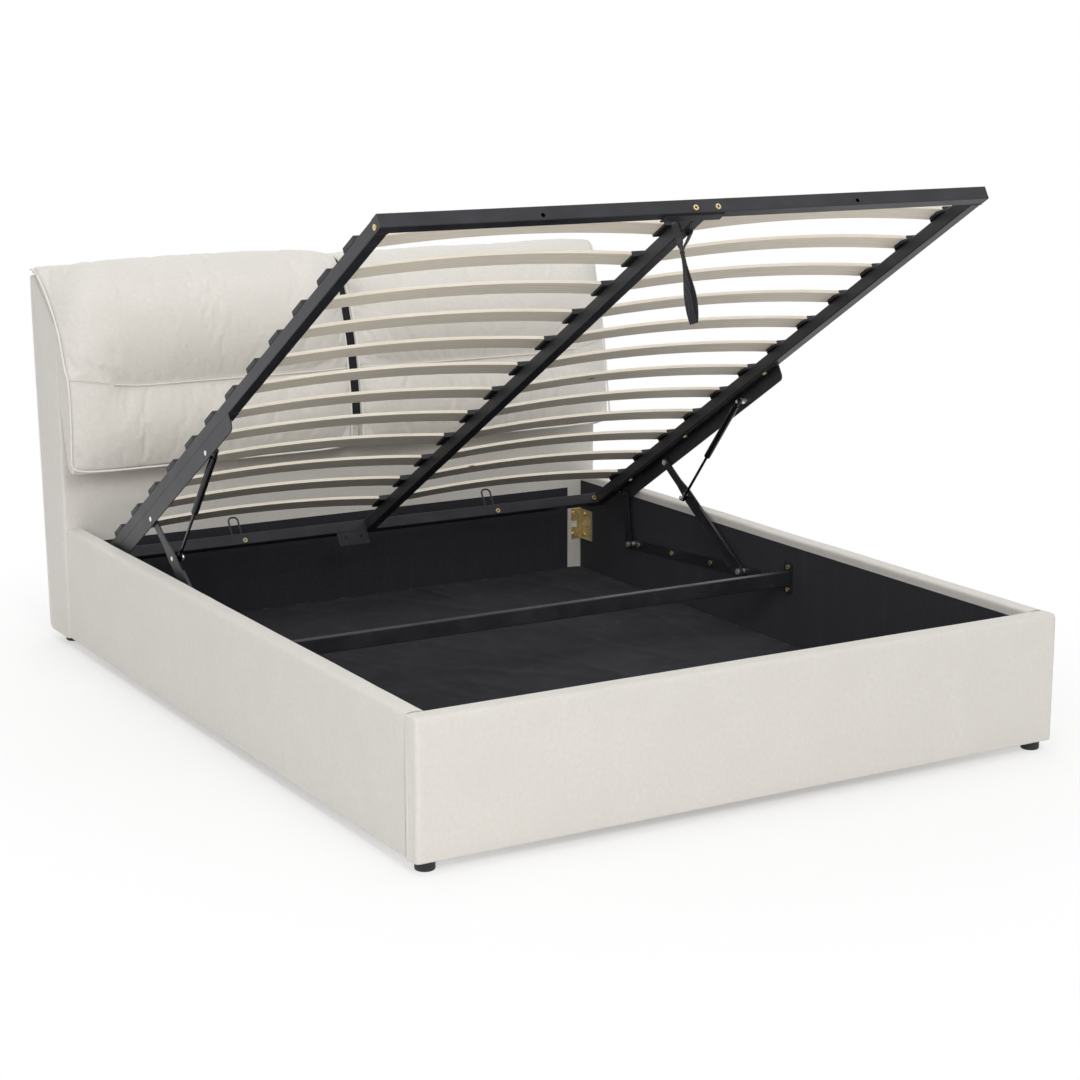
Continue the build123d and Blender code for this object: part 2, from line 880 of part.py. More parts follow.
def long_tube(x_middle, near, cap):
    """Tube along the lid at x_middle from u near to the foot rail; cap is the wall at its head end."""
    with BuildSketch(lid_cross_plane(near)) as outside:
        with Locations((x_middle, tube_height / 2)):
            RectangleRounded(tube_width, tube_height, tube_round)
    extrude(outside.sketch, amount=rail_length - near)
    with BuildSketch(lid_cross_plane(near + cap)) as inside:
        with Locations((x_middle, tube_height / 2)):
            Rectangle(bore_width, bore_height)
    extrude(inside.sketch, amount=rail_length, mode=Mode.SUBTRACT)


retainer_u = tube_width / 2
retainer_span = 28.0
retainer_rise = 54.0
retainer_wire = 2.5
retainer_bend = 12.0
retainer_play = 0.2
retainer_foot = tube_height - tube_wall - retainer_bend / 2

with BuildPart() as foot_rail:
    cross_tube(lid_length - tube_width / 2, lid_width / 2, tube_wall)
    drill(spine_bolts + mirrored(end_bolts), tube_wall + overrun)
    with Locations(*access_holes):
        Hole(access_radius, tube_wall + overrun)
save(foot_rail, "foot_rail")

retainer_legs = [
    lid_bolt(side * retainer_x + leg * retainer_span / 2, retainer_u, tube_height, top_normal)
    for side in (-1, 1)
    for leg in (-1, 1)
]
with BuildPart() as head_rail:
    cross_tube(retainer_u, lid_width / 2 - tube_width, 0)
    drill(retainer_bolts + mirrored(corner_bolts), tube_wall + overrun)
    with Locations(*retainer_legs):
        Hole(retainer_wire + retainer_play, tube_wall + overrun)
save(head_rail, "head_rail")

with BuildPart() as lid_rail:
    long_tube(rail_middle, 0, tube_wall)
    drill(bracket_bolts, tube_wall + plate + overrun)
save_both(lid_rail, "lid_rail")

with BuildPart() as spine:
    long_tube(0, tube_width, 0)
save(spine, "spine")

# Small plates where the spine meets the cross rails
hanger_width = 95.0
hanger_drop = 40.0
hanger_hole = 4.0
gusset_left = 105.0
gusset_right = 50.0
gusset_length = 25.0
gusset_inset = 10.0
with BuildPart(lid_plane) as joint_plates:
    with Locations((-tube_width / 2, -tube_width, 0)):
        Box(hanger_width, plate, hanger_drop, align=(Align.MAX, Align.MIN, Align.MAX))
    with Locations((-tube_width / 2 - hanger_width / 2, -tube_width, -hanger_drop * 2 / 5)):
        with GridLocations(hanger_width / 2, hanger_drop, 2, 1):
            Cylinder(hanger_hole, 3 * plate, rotation=(90, 0, 0), mode=Mode.SUBTRACT)
    with Locations(((gusset_right - gusset_left) / 2, -(lid_length - gusset_inset), 0)):
        Box(
            gusset_left + gusset_right,
            gusset_length,
            plate,
            align=(Align.CENTER, Align.MIN, Align.MAX),
        )
save(joint_plates, "joint_plates")

# The slats: bowed strips held at both ends in plastic holders
slat_pitch = (lid_length - first_slat_inset - last_slat_inset) / (slat_count - 1)
slat_places = [lid_length - last_slat_inset - slat_pitch * k for k in range(slat_count)]
slat_outer = lid_width / 2 - slat_end_gap
slat_low = tube_height + slat_seat


def slat_profile(play):
    """Side view of a slat between the spine and the right rail, grown by play all round."""
    with BuildLine() as outline:
        start = (slat_end_gap - play, slat_low - play)
        end = (slat_outer + play, slat_low - play)
        middle = (slat_end_gap + slat_outer) / 2
        under = ThreePointArc(start, (middle, slat_low + slat_rise - play), end)
        thickness = slat_thickness + 2 * play
        over = ThreePointArc(
            (start[0], start[1] + thickness),
            (middle, slat_low + slat_rise - play + thickness),
            (end[0], end[1] + thickness),
        )
        Line(under @ 0, over @ 0)
        Line(under @ 1, over @ 1)
    make_face(outline.edges())


with BuildPart() as slats:
    with BuildSketch(*[lid_cross_plane(u) for u in slat_places]):
        slat_profile(0)
    extrude(amount=slat_width / 2, both=True)
save_both(slats, "slats")

with BuildPart() as pockets:
    with BuildSketch(*[lid_cross_plane(u) for u in slat_places]):
        slat_profile(holder_play)
    extrude(amount=slat_width / 2 + holder_play, both=True)

half_holder = holder_length / 2
lid_up = Axis(origin=(0, 0, 0), direction=(0, across_y, across_z))
with BuildPart() as rail_holders:
    for u in slat_places:
        with BuildSketch(lid_plane.offset(tube_height)):
            with BuildLine():
                Polyline(
                    (lid_width / 2, -u - half_holder),
                    (lid_width / 2 - tube_width, -u - half_holder),
                    (lid_width / 2 - tube_width - holder_tab, -u - half_holder / 2),
                    (lid_width / 2 - tube_width - holder_tab, -u + half_holder / 2),
                    (lid_width / 2 - tube_width, -u + half_holder),
                    (lid_width / 2, -u + half_holder),
                    close=True,
                )
            make_face()
        extrude(amount=holder_height)
    chamfer(rail_holders.faces().filter_by(lid_up).group_by(lid_up)[-1].edges(), length=holder_edge)
    add(pockets.part, mode=Mode.SUBTRACT)
save_both(rail_holders, "slat_holders")

spine_holder_half = tube_width / 2 + spine_holder_overhang
with BuildPart() as spine_holders:
    with BuildSketch(lid_plane.offset(tube_height)):
        for u in slat_places:
            with Locations((0, -u)):
                Rectangle(2 * spine_holder_half, holder_length)
    extrude(amount=holder_height)
    chamfer(spine_holders.faces().filter_by(lid_up).group_by(lid_up)[-1].edges(), length=holder_edge)
    add(pockets.part, mode=Mode.SUBTRACT)
    add(mirror(pockets.part, about=Plane.YZ, mode=Mode.PRIVATE), mode=Mode.SUBTRACT)
save(spine_holders, "spine_slat_holders")

# Wire stops that keep the mattress on the tilted lid
retainer_top = tube_height + retainer_rise
with BuildPart() as retainers:
    for x in (-retainer_x, retainer_x):
        with BuildLine(lid_cross_plane(retainer_u)) as wire:
            FilletPolyline(
                (x - retainer_span / 2, retainer_foot),
                (x - retainer_span / 2, retainer_top),
                (x + retainer_span / 2, retainer_top),
                (x + retainer_span / 2, retainer_foot),
                radius=retainer_bend,
            )
        with BuildSketch(Plane(origin=wire.line @ 0, z_dir=wire.line % 0)):
            Circle(retainer_wire)
        sweep()
save(retainers, "mattress_retainers")

# The angle brackets that join the lid to the mechanism
bracket_depth = 41.0
bracket_flange = 27.0
bracket_corner = 14.0
bracket_middle = bracket_start + bracket_length / 2
with BuildPart() as lift_bracket:
    with BuildSketch(lid_side_plane(lid_width / 2)):
        with Locations((bracket_middle, -bracket_depth / 2)):
            Rectangle(bracket_length, bracket_depth)
        fillet(vertices().group_by(Axis.Y)[0], radius=bracket_corner)
    extrude(amount=plate)
    with BuildSketch(lid_side_plane(lid_width / 2)):
        with Locations((bracket_middle, -plate / 2)):
            Rectangle(bracket_length, plate)
    extrude(amount=bracket_flange)
    drill(bracket_bolts, plate + overrun)
save_both(lift_bracket, "lift_bracket")

stud_collar = flange_inner - strut_x - socket_radius - overrun
with BuildPart() as lid_pins:
    pivot_pin(*lid_front_point, flange_inner)
    with Locations(facing((flange_inner, *lid_strut_point), inwards)):
        Cylinder(spacer_radius, stud_collar, align=up)
        Cylinder(pin_radius, flange_inner - strut_x + socket_radius, align=up)
    mirror(about=Plane.YZ)
save(lid_pins, "lid_pins")

# The gas struts
strut_span = span(lid_strut_point, arm_strut_point)
cylinder_end = strut_span * cylinder_share
strut_plane = Plane(
    origin=(strut_x, *lid_strut_point),
    x_dir=(1, 0, 0),
    z_dir=(
        0,
        arm_strut_point[0] - lid_strut_point[0],
        arm_strut_point[1] - lid_strut_point[1],
    ),
)
socket_neck = socket_length * 2 / 3
gland = 10.0
piston = 10.0
piston_at = cylinder_end - gland - piston - overrun
with BuildPart(strut_plane) as gas_cylinder:
    with Locations((0, 0, socket_neck)):
        Cylinder(socket_radius, socket_length, align=down)
    fillet(gas_cylinder.edges().filter_by(GeomType.CIRCLE), radius=socket_radius / 4)
    with Locations((0, 0, socket_neck)):
        Cylinder(cylinder_radius, cylinder_end - socket_neck, align=up)
    with Locations((0, 0, socket_neck + gland)):
        Cylinder(
            cylinder_radius - cylinder_wall,
            cylinder_end - socket_neck - 2 * gland,
            align=up,
            mode=Mode.SUBTRACT,
        )
        Cylinder(rod_radius + rod_play, cylinder_end, align=up, mode=Mode.SUBTRACT)
    Cylinder(pin_radius + pin_play, 3 * socket_radius, rotation=(0, 90, 0), mode=Mode.SUBTRACT)
save_both(gas_cylinder, "gas_cylinder")

with BuildPart(strut_plane) as gas_rod:
    with Locations((0, 0, piston_at)):
        Cylinder(rod_radius, strut_span - piston_at, align=up)
        Cylinder(cylinder_radius - cylinder_wall - piston_play, piston, align=up)
    with Locations((0, 0, strut_span - socket_neck)):
        Cylinder(socket_radius, socket_length, align=up)
    with Locations((0, 0, strut_span)):
        Cylinder(
            pin_radius,
            link_inner - open_gap - strut_x,
            rotation=(0, 90, 0),
            align=up,
        )
save_both(gas_rod, "gas_rod")

# Bolts, each with a round head and a six-sided socket
socket_share = 0.5
hex_depth = bolt_head * 0.6


def bolts(places, reach):
    """Bolts with their heads seated at the places and their shanks reach deep."""
    with Locations(*places):
        Cylinder(bolt_head_radius, bolt_head, align=up)
        Cylinder(bolt_radius, reach, align=down)
    with BuildSketch(*[Plane(place).offset(bolt_head) for place in places]) as sockets:
        RegularPolygon(bolt_head_radius * socket_share, 6)
    extrude(sockets.sketch, amount=-hex_depth, mode=Mode.SUBTRACT)


with BuildPart() as bracket_screws:
    bolts(mirrored(leaf_bolts + headboard_bolts + footboard_bolts), bolt_reach - overrun)
save(bracket_screws, "corner_bracket_bolts")

with BuildPart() as base_screws:
    bolts(mirrored(bar_bolts + crossbar_bolts), bolt_reach - overrun)
save(base_screws, "base_bar_bolts")

with BuildPart() as lid_screws:
    bolts(spine_bolts + mirrored(end_bolts) + retainer_bolts, 4 * tube_wall)
    bolts(mirrored(corner_bolts), 4 * tube_wall)
    bolts(mirrored(bracket_bolts), plate + 4 * tube_wall)
save(lid_screws, "lid_bolts")

# The pull strap: a hitch round the spine, drawn to a point below it, and the length that hangs
strap_inset = 106.0
strap_u = lid_length - strap_inset
strap_width = 25.0
strap_thickness = 2.0
strap_knot = 12.0
strap_aside = 20.0
strap_hitch = 36.0
strap_fall = 160.0
strap_lean = 18.0


def strap_outline(grown):
    """Outline of the hitch across the lid, grown outwards."""
    half = tube_width / 2 + open_gap + grown
    with BuildLine() as outline:
        Polyline(
            (-half, -open_gap - grown),
            (-half, tube_height + open_gap + grown),
            (half, tube_height + open_gap + grown),
            (half, -open_gap - grown),
            (-strap_aside, -strap_hitch - grown),
            close=True,
        )
    make_face(outline.edges())


with BuildPart() as strap_loop:
    with BuildSketch(lid_cross_plane(strap_u)) as outside:
        strap_outline(strap_thickness)
    extrude(outside.sketch, amount=strap_width / 2, both=True)
    with BuildSketch(lid_cross_plane(strap_u)) as inside:
        strap_outline(0)
    extrude(inside.sketch, amount=strap_width, both=True, mode=Mode.SUBTRACT)
save(strap_loop, "strap_loop")

strap_start = lid_point(strap_u, -(strap_hitch + strap_knot / 2 + strap_thickness + open_gap))
strap_plane = Plane(
    origin=(-strap_aside, *strap_start),
    x_dir=(1, 0, 0),
    z_dir=(0, sin(radians(strap_lean)), cos(radians(strap_lean))),
)
with BuildPart(strap_plane) as pull_strap:
    Cylinder(strap_knot / 2, strap_width, rotation=(0, 90, 0))
    Box(strap_width, 2 * strap_thickness, strap_fall, align=down)
save(pull_strap, "pull_strap")
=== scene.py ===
import json
import math

import bmesh
import bpy
from mathutils import Matrix, Vector, noise
from mathutils.kdtree import KDTree


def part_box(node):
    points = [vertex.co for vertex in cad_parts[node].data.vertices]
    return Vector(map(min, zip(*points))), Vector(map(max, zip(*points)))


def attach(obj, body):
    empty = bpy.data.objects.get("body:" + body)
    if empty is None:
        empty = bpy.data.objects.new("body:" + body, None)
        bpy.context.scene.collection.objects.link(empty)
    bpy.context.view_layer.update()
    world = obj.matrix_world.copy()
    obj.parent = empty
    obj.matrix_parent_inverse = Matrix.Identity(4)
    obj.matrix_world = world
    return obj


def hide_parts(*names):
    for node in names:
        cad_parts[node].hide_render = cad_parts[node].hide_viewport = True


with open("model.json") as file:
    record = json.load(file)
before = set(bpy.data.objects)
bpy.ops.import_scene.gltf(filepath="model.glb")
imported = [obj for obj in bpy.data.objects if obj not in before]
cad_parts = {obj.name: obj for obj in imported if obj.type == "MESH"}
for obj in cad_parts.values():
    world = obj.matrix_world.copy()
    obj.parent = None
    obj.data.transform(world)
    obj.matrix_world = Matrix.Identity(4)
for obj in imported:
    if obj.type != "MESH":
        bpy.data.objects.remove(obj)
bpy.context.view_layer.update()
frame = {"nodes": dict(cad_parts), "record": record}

# Metres. +Z is up, the headboard stands at +Y, the foot end at -Y, +X is the right side.
MM = 0.001

# The camera, at the photograph's angle
CAMERA_PLACE = Vector((-2.8961, -5.1346, 1.6847))
CAMERA_AZIMUTH = math.radians(-30.318)
CAMERA_ELEVATION = math.radians(12.419)
FOCAL_PIXELS = 2350.4
FRAME_PIXELS = 1080.0
SENSOR = 36.0


def add_object(name, data):
    added = bpy.data.objects.new(name, data)
    bpy.context.scene.collection.objects.link(added)
    return added


def add_camera():
    back = Vector((
        math.sin(CAMERA_AZIMUTH) * math.cos(CAMERA_ELEVATION),
        -math.cos(CAMERA_AZIMUTH) * math.cos(CAMERA_ELEVATION),
        math.sin(CAMERA_ELEVATION),
    ))
    right = Vector((0, 0, 1)).cross(back).normalized()
    above = back.cross(right)
    data = bpy.data.cameras.new("camera")
    data.sensor_width = SENSOR
    data.lens = FOCAL_PIXELS / FRAME_PIXELS * SENSOR
    data.clip_end = 100
    camera = add_object("camera", data)
    turn = Matrix((right, above, back)).transposed().to_4x4()
    camera.matrix_world = Matrix.Translation(CAMERA_PLACE) @ turn
    bpy.context.scene.camera = camera


add_camera()


# Materials
class Shader:
    """A material whose nodes are added by short calls."""

    def __init__(self, name, colour, roughness, **sockets):
        self.material = bpy.data.materials.new(name)
        self.material.use_nodes = True
        self.tree = self.material.node_tree
        self.surface = self.tree.nodes["Principled BSDF"]
        self.surface.inputs["Base Color"].default_value = (*colour, 1)
        self.surface.inputs["Roughness"].default_value = roughness
        for socket, value in sockets.items():
            self.surface.inputs[socket.replace("_", " ")].default_value = value
        self.place = self.node("ShaderNodeTexCoord").outputs["Object"]

    def node(self, kind, values=None, **settings):
        made = self.tree.nodes.new(kind)
        for setting, value in settings.items():
            setattr(made, setting, value)
        for socket, value in (values or {}).items():
            if isinstance(value, bpy.types.NodeSocket):
                self.tree.links.new(value, made.inputs[socket])
            else:
                made.inputs[socket].default_value = value
        return made

    def stretched(self, scale):
        made = self.node("ShaderNodeMapping", {"Vector": self.place, "Scale": scale})
        return made.outputs["Vector"]

    def noise(self, scale, detail=2.0, roughness=0.5, place=None, distortion=0.0):
        made = self.node("ShaderNodeTexNoise", {
            "Vector": place or self.place,
            "Scale": scale,
            "Detail": detail,
            "Roughness": roughness,
            "Distortion": distortion,
        })
        return made.outputs["Fac"]

    def wave(self, scale, direction, distortion=0.0, place=None):
        made = self.node("ShaderNodeTexWave", {
            "Vector": place or self.place,
            "Scale": scale,
            "Distortion": distortion,
            "Detail": 1.0,
        }, bands_direction=direction)
        return made.outputs["Fac"]

    def cells(self, scale, place=None):
        made = self.node("ShaderNodeTexVoronoi", {"Vector": place or self.place, "Scale": scale})
        return made.outputs["Distance"]

    def sum(self, first, second, operation="ADD"):
        made = self.node("ShaderNodeMath", operation=operation)
        for socket, value in zip(made.inputs, (first, second)):
            if isinstance(value, bpy.types.NodeSocket):
                self.tree.links.new(value, socket)
            else:
                socket.default_value = value
        return made.outputs["Value"]

    def range(self, value, low, high, to_low, to_high):
        made = self.node("ShaderNodeMapRange", {
            "Value": value,
            "From Min": low,
            "From Max": high,
            "To Min": to_low,
            "To Max": to_high,
        })
        return made.outputs["Result"]

    def mix(self, share, first, second, blend="MIX"):
        made = self.node("ShaderNodeMix", data_type="RGBA", blend_type=blend)
        for socket, value in zip((made.inputs[0], made.inputs[6], made.inputs[7]), (share, first, second)):
            if isinstance(value, bpy.types.NodeSocket):
                self.tree.links.new(value, socket)
            elif isinstance(value, tuple):
                socket.default_value = (*value, 1)
            else:
                socket.default_value = value
        return made.outputs[2]

    def over(self, base, mask, low, high, share, colour):
        """base, with up to share of colour where mask goes from low to high."""
        return self.mix(self.range(mask, low, high, 0, share), base, colour)

    def colour(self, value):
        self.tree.links.new(value, self.surface.inputs["Base Color"])

    def roughness(self, value):
        self.tree.links.new(value, self.surface.inputs["Roughness"])

    def bump(self, *layers):
        """Each layer is (height, strength, distance in metres)."""
        normal = None
        for height, strength, distance in layers:
            values = {"Height": height, "Strength": strength, "Distance": distance}
            if normal:
                values["Normal"] = normal
            normal = self.node("ShaderNodeBump", values).outputs["Normal"]
        self.tree.links.new(normal, self.surface.inputs["Normal"])


def tinted(colour, share):
    return tuple(channel * share for channel in colour)


def upholstery(name, colour, weave=1.0):
    """Short-napped cream cloth: a fine weave, mottled nap and a soft sheen."""
    shader = Shader(name, colour, 0.92, Sheen_Weight=0.35, Sheen_Roughness=0.45, Specular_IOR_Level=0.18)
    threads = shader.sum(
        shader.wave(210, "X", 1.5),
        shader.sum(shader.wave(210, "Y", 1.5), shader.wave(210, "Z", 1.5)),
    )
    nap = shader.noise(95, 5, 0.68)
    clouds = shader.noise(7, 4, 0.62)
    streaks = shader.noise(26, 3, 0.6, shader.stretched((1, 1, 0.35)))
    specks = shader.noise(420, 2, 0.7)
    base = shader.mix(shader.range(nap, 0.3, 0.7, 0, 1), tinted(colour, 0.945), tinted(colour, 1.045))
    base = shader.over(base, clouds, 0.35, 0.7, 0.5, tinted(colour, 0.93))
    base = shader.over(base, streaks, 0.45, 0.75, 0.35, tinted(colour, 0.955))
    base = shader.over(base, specks, 0.58, 0.72, 0.4, tinted(colour, 0.87))
    shader.colour(base)
    shader.bump(
        (clouds, 0.25, 0.004),
        (nap, 0.35, 0.0012),
        (threads, 0.25 * weave, 0.0004),
        (specks, 0.2, 0.0003),
    )
    return shader.material


def nonwoven(name, colour):
    """Black spunbond lining: faint embossed dots, fibres and soft creases."""
    shader = Shader(name, colour, 0.9, Sheen_Weight=0.06, Sheen_Roughness=0.5, Specular_IOR_Level=0.14)
    fibres = shader.noise(160, 5, 0.7)
    clouds = shader.noise(4.5, 5, 0.62)
    dust = shader.noise(300, 2, 0.6)
    scuffs = shader.noise(22, 4, 0.68, shader.stretched((1, 1, 0.12)))
    folds = shader.noise(6, 3, 0.55, shader.stretched((1.0, 0.45, 1.0)), 1.4)
    dots = shader.cells(260)
    base = shader.mix(shader.range(fibres, 0.3, 0.7, 0, 1), tinted(colour, 0.75), tinted(colour, 1.3))
    base = shader.over(base, clouds, 0.4, 0.72, 0.6, (0.030, 0.028, 0.032))
    base = shader.over(base, scuffs, 0.52, 0.76, 0.45, (0.045, 0.043, 0.047))
    base = shader.over(base, dust, 0.68, 0.78, 0.5, (0.10, 0.10, 0.105))
    shader.colour(base)
    shader.bump((folds, 0.35, 0.006), (fibres, 0.3, 0.0006), (dots, 0.15, 0.0003))
    return shader.material


def powder_coat(name, colour, roughness):
    """Black powder coat with orange peel, faint dust and lighter rubbed patches."""
    shader = Shader(name, colour, roughness, Specular_IOR_Level=0.34, Coat_Weight=0.04, Coat_Roughness=0.3)
    peel = shader.noise(420, 3, 0.55)
    dust = shader.noise(9, 6, 0.7)
    scuffs = shader.noise(55, 4, 0.7, shader.stretched((0.5, 1, 1)))
    base = shader.mix(shader.range(dust, 0.42, 0.72, 0, 0.8), colour, tinted(colour, 1.9))
    base = shader.over(base, scuffs, 0.66, 0.76, 0.35, (0.16, 0.16, 0.17))
    shader.colour(base)
    shader.roughness(shader.range(dust, 0.3, 0.75, roughness - 0.06, roughness + 0.12))
    shader.bump((peel, 0.3, 0.0003), (scuffs, 0.1, 0.0003))
    return shader.material


def moulded(name, colour):
    shader = Shader(name, colour, 0.5, Specular_IOR_Level=0.42)
    grain = shader.noise(700, 3, 0.6)
    wear = shader.noise(30, 4, 0.6)
    base = shader.mix(shader.range(wear, 0.4, 0.75, 0, 0.7), colour, tinted(colour, 1.8))
    shader.colour(base)
    shader.roughness(shader.range(wear, 0.3, 0.7, 0.42, 0.6))
    shader.bump((grain, 0.35, 0.0003))
    return shader.material


def birch(name, colour):
    """Pale slat veneer: long fine grain, a few knots and darker pores."""
    shader = Shader(name, colour, 0.55, Specular_IOR_Level=0.35)
    grain = shader.noise(34, 5, 0.66, shader.stretched((0.35, 6, 6)), 0.6)
    fine = shader.noise(260, 3, 0.6, shader.stretched((0.08, 3, 3)))
    tone = shader.noise(2.6, 3, 0.5)
    flames = shader.wave(7, "Y", 5.0, shader.stretched((0.22, 4, 4)))
    knots = shader.cells(3.1, shader.stretched((1, 2.6, 2.6)))
    base = shader.mix(shader.range(grain, 0.3, 0.72, 0, 1), tinted(colour, 1.04), tinted(colour, 0.87))
    base = shader.over(base, flames, 0.2, 0.9, 0.22, (0.62, 0.52, 0.37))
    base = shader.over(base, tone, 0.35, 0.7, 0.35, (0.80, 0.72, 0.58))
    base = shader.over(base, fine, 0.55, 0.8, 0.35, (0.56, 0.47, 0.34))
    base = shader.mix(shader.range(knots, 0.022, 0.05, 0.9, 0), base, (0.10, 0.06, 0.035))
    shader.colour(base)
    shader.roughness(shader.range(grain, 0.2, 0.8, 0.48, 0.66))
    shader.bump((grain, 0.15, 0.0005), (fine, 0.2, 0.0003))
    return shader.material


def board(name, colour):
    """Unfinished chip and fibre board, seen only from below and inside."""
    shader = Shader(name, colour, 0.8)
    chips = shader.cells(120)
    tone = shader.noise(12, 4, 0.6)
    base = shader.mix(shader.range(chips, 0.1, 0.8, 0, 1), tinted(colour, 0.8), tinted(colour, 1.15))
    base = shader.over(base, tone, 0.4, 0.7, 0.5, tinted(colour, 0.85))
    shader.colour(base)
    shader.bump((chips, 0.2, 0.0005))
    return shader.material


def zinc(name, colour, second, third):
    """Zinc plate with a clouded passivation tint."""
    shader = Shader(name, colour, 0.3, Metallic=0.82)
    clouds = shader.noise(26, 3, 0.6, None, 0.8)
    bands = shader.noise(60, 3, 0.6)
    scratches = shader.noise(900, 2, 0.6, shader.stretched((1, 1, 0.08)))
    base = shader.mix(shader.range(clouds, 0.38, 0.62, 0, 1), colour, second)
    base = shader.over(base, bands, 0.55, 0.75, 0.6, third)
    shader.colour(base)
    shader.roughness(shader.range(scratches, 0.3, 0.7, 0.22, 0.42))
    shader.bump((scratches, 0.15, 0.0002), (bands, 0.12, 0.0004))
    return shader.material


def polished(name, colour):
    shader = Shader(name, colour, 0.16, Metallic=1.0)
    oil = shader.noise(40, 3, 0.5)
    shader.colour(shader.mix(shader.range(oil, 0.35, 0.7, 0, 0.6), colour, tinted(colour, 0.6)))
    shader.roughness(shader.range(oil, 0.3, 0.7, 0.12, 0.26))
    return shader.material


def webbing(name, colour):
    """Flat black webbing: ribs across it and fine yarns along it."""
    shader = Shader(name, colour, 0.85, Sheen_Weight=0.3, Specular_IOR_Level=0.2)
    ribs = shader.wave(95, "Z", 0.4)
    yarns = shader.wave(160, "X", 0.4)
    fuzz = shader.noise(500, 3, 0.6)
    both = shader.sum(ribs, yarns, "MULTIPLY")
    base = shader.mix(shader.range(both, 0.1, 0.8, 0, 1), tinted(colour, 0.5), tinted(colour, 2.2))
    base = shader.over(base, fuzz, 0.6, 0.8, 0.4, (0.12, 0.12, 0.13))
    shader.colour(base)
    shader.bump((both, 0.8, 0.0008), (fuzz, 0.2, 0.0003))
    return shader.material


CREAM = (0.705, 0.678, 0.632)
CREAM_PIPING = (0.78, 0.755, 0.71)
CREAM_SEAM = (0.53, 0.50, 0.455)
# The same black lining in two copies: a lighter one for the side, head and foot linings, and a darker one,
# painted as the lid's shadow, for the floor and the strip between the cushions
LINING_PAINTED_LIGHTER = (0.031, 0.031, 0.037)
LINING_PAINTED_SHADE = (0.0125, 0.0125, 0.0175)
finishes = {
    "upholstery": upholstery("cream_cloth", CREAM),
    "piping": upholstery("cream_piping", CREAM_PIPING, 0.6),
    "seam": upholstery("cream_seam", CREAM_SEAM, 0.6),
    "lining": nonwoven("black_lining_painted_lighter", LINING_PAINTED_LIGHTER),
    "floor_lining": nonwoven("black_lining_painted_shade", LINING_PAINTED_SHADE),
    "board": board("plain_board", (0.50, 0.37, 0.23)),
    "black_steel": powder_coat("black_powder_coat", (0.017, 0.0175, 0.021), 0.40),
    "strut_black": powder_coat("black_strut_paint", (0.006, 0.006, 0.007), 0.24),
    "rod_steel": polished("dark_rod", (0.10, 0.10, 0.11)),
    "slat_wood": birch("pale_birch", (0.865, 0.80, 0.69)),
    "black_plastic": moulded("black_moulding", (0.012, 0.012, 0.013)),
    "yellow_zinc": zinc("yellow_zinc", (0.86, 0.66, 0.32), (0.74, 0.66, 0.40), (0.80, 0.46, 0.26)),
    "bright_zinc": zinc("bright_zinc", (0.88, 0.88, 0.88), (0.76, 0.77, 0.80), (0.90, 0.86, 0.76)),
    "webbing": webbing("black_webbing", (0.016, 0.016, 0.019)),
}

record = frame["record"]
slot_of = {part["node"]: part["material_slot"] for part in record["subparts"]}


def dress_node(node):
    piece = frame["nodes"][node]
    if not piece.material_slots:
        piece.data.materials.append(None)
    for place in piece.material_slots:
        place.material = finishes[slot_of[node]]


for node in frame["nodes"]:
    dress_node(node)

# Small rounded edges, in millimetres, on the rigid pieces that catch the light
EDGE_ROUNDS = {
    1.2: ("slats_left", "slats_right"),
    1.0: ("slat_holders_left", "slat_holders_right", "spine_slat_holders"),
    0.6: ("corner_brackets_head", "corner_brackets_foot", "joint_plates"),
    0.7: (
        "lift_bracket_left", "lift_bracket_right", "base_bar_left", "base_bar_right",
        "crossbar_plates", "lid_bolts", "base_bar_bolts", "corner_bracket_bolts",
    ),
    0.8: (
        "front_arm_left", "front_arm_right", "rear_link_left", "rear_link_right", "base_pins", "lid_pins",
    ),
}
for node, width in ((node, width) for width, nodes in EDGE_ROUNDS.items() for node in nodes):
    bevel = frame["nodes"][node].modifiers.new("edge", "BEVEL")
    bevel.width = width * MM
    bevel.segments = 2
    bevel.limit_method = "ANGLE"
    bevel.angle_limit = math.radians(40)
    bevel.harden_normals = True


# Mesh helpers
SIDES = {-1: "left", 1: "right"}


def face_outward(mesh, cut_caps=False):
    """Turn the mesh's faces outward; cut_caps first cuts those of more than four corners."""
    work = bmesh.new()
    work.from_mesh(mesh)
    if cut_caps:
        bmesh.ops.triangulate(work, faces=[face for face in work.faces if len(face.verts) > 4])
    bmesh.ops.recalc_face_normals(work, faces=work.faces)
    work.to_mesh(mesh)
    work.free()


def dressed(piece, finish, body):
    """Give the piece its finish and the body it rides."""
    piece.data.materials.append(finishes[finish])
    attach(piece, body)
    return piece


def new_piece(name, vertices, faces, finish, body, slot=None, sharp=math.radians(38)):
    mesh = bpy.data.meshes.new(name)
    mesh.from_pydata([tuple(v) for v in vertices], [], faces)
    mesh.validate()
    face_outward(mesh)
    mesh.shade_smooth()
    mesh.set_sharp_from_angle(angle=sharp)
    return dressed(add_object(name, mesh), finish, body)


def skin(rings):
    """Vertices and faces of a capped surface through closed rings of equal length."""
    count = len(rings[0])
    vertices = [point for ring in rings for point in ring]
    faces = []
    for row in range(len(rings) - 1):
        for k in range(count):
            near = row * count + k
            beside = row * count + (k + 1) % count
            faces.append((near, beside, beside + count, near + count))
    start = (len(rings) - 1) * count
    faces.append(tuple(range(count))[::-1])
    faces.append(tuple(range(start, start + count)))
    return vertices, faces


def steps(low, high, size):
    count = max(1, round((high - low) / size))
    return [low + (high - low) * k / count for k in range(count + 1)]


ARC_CUTS = 5


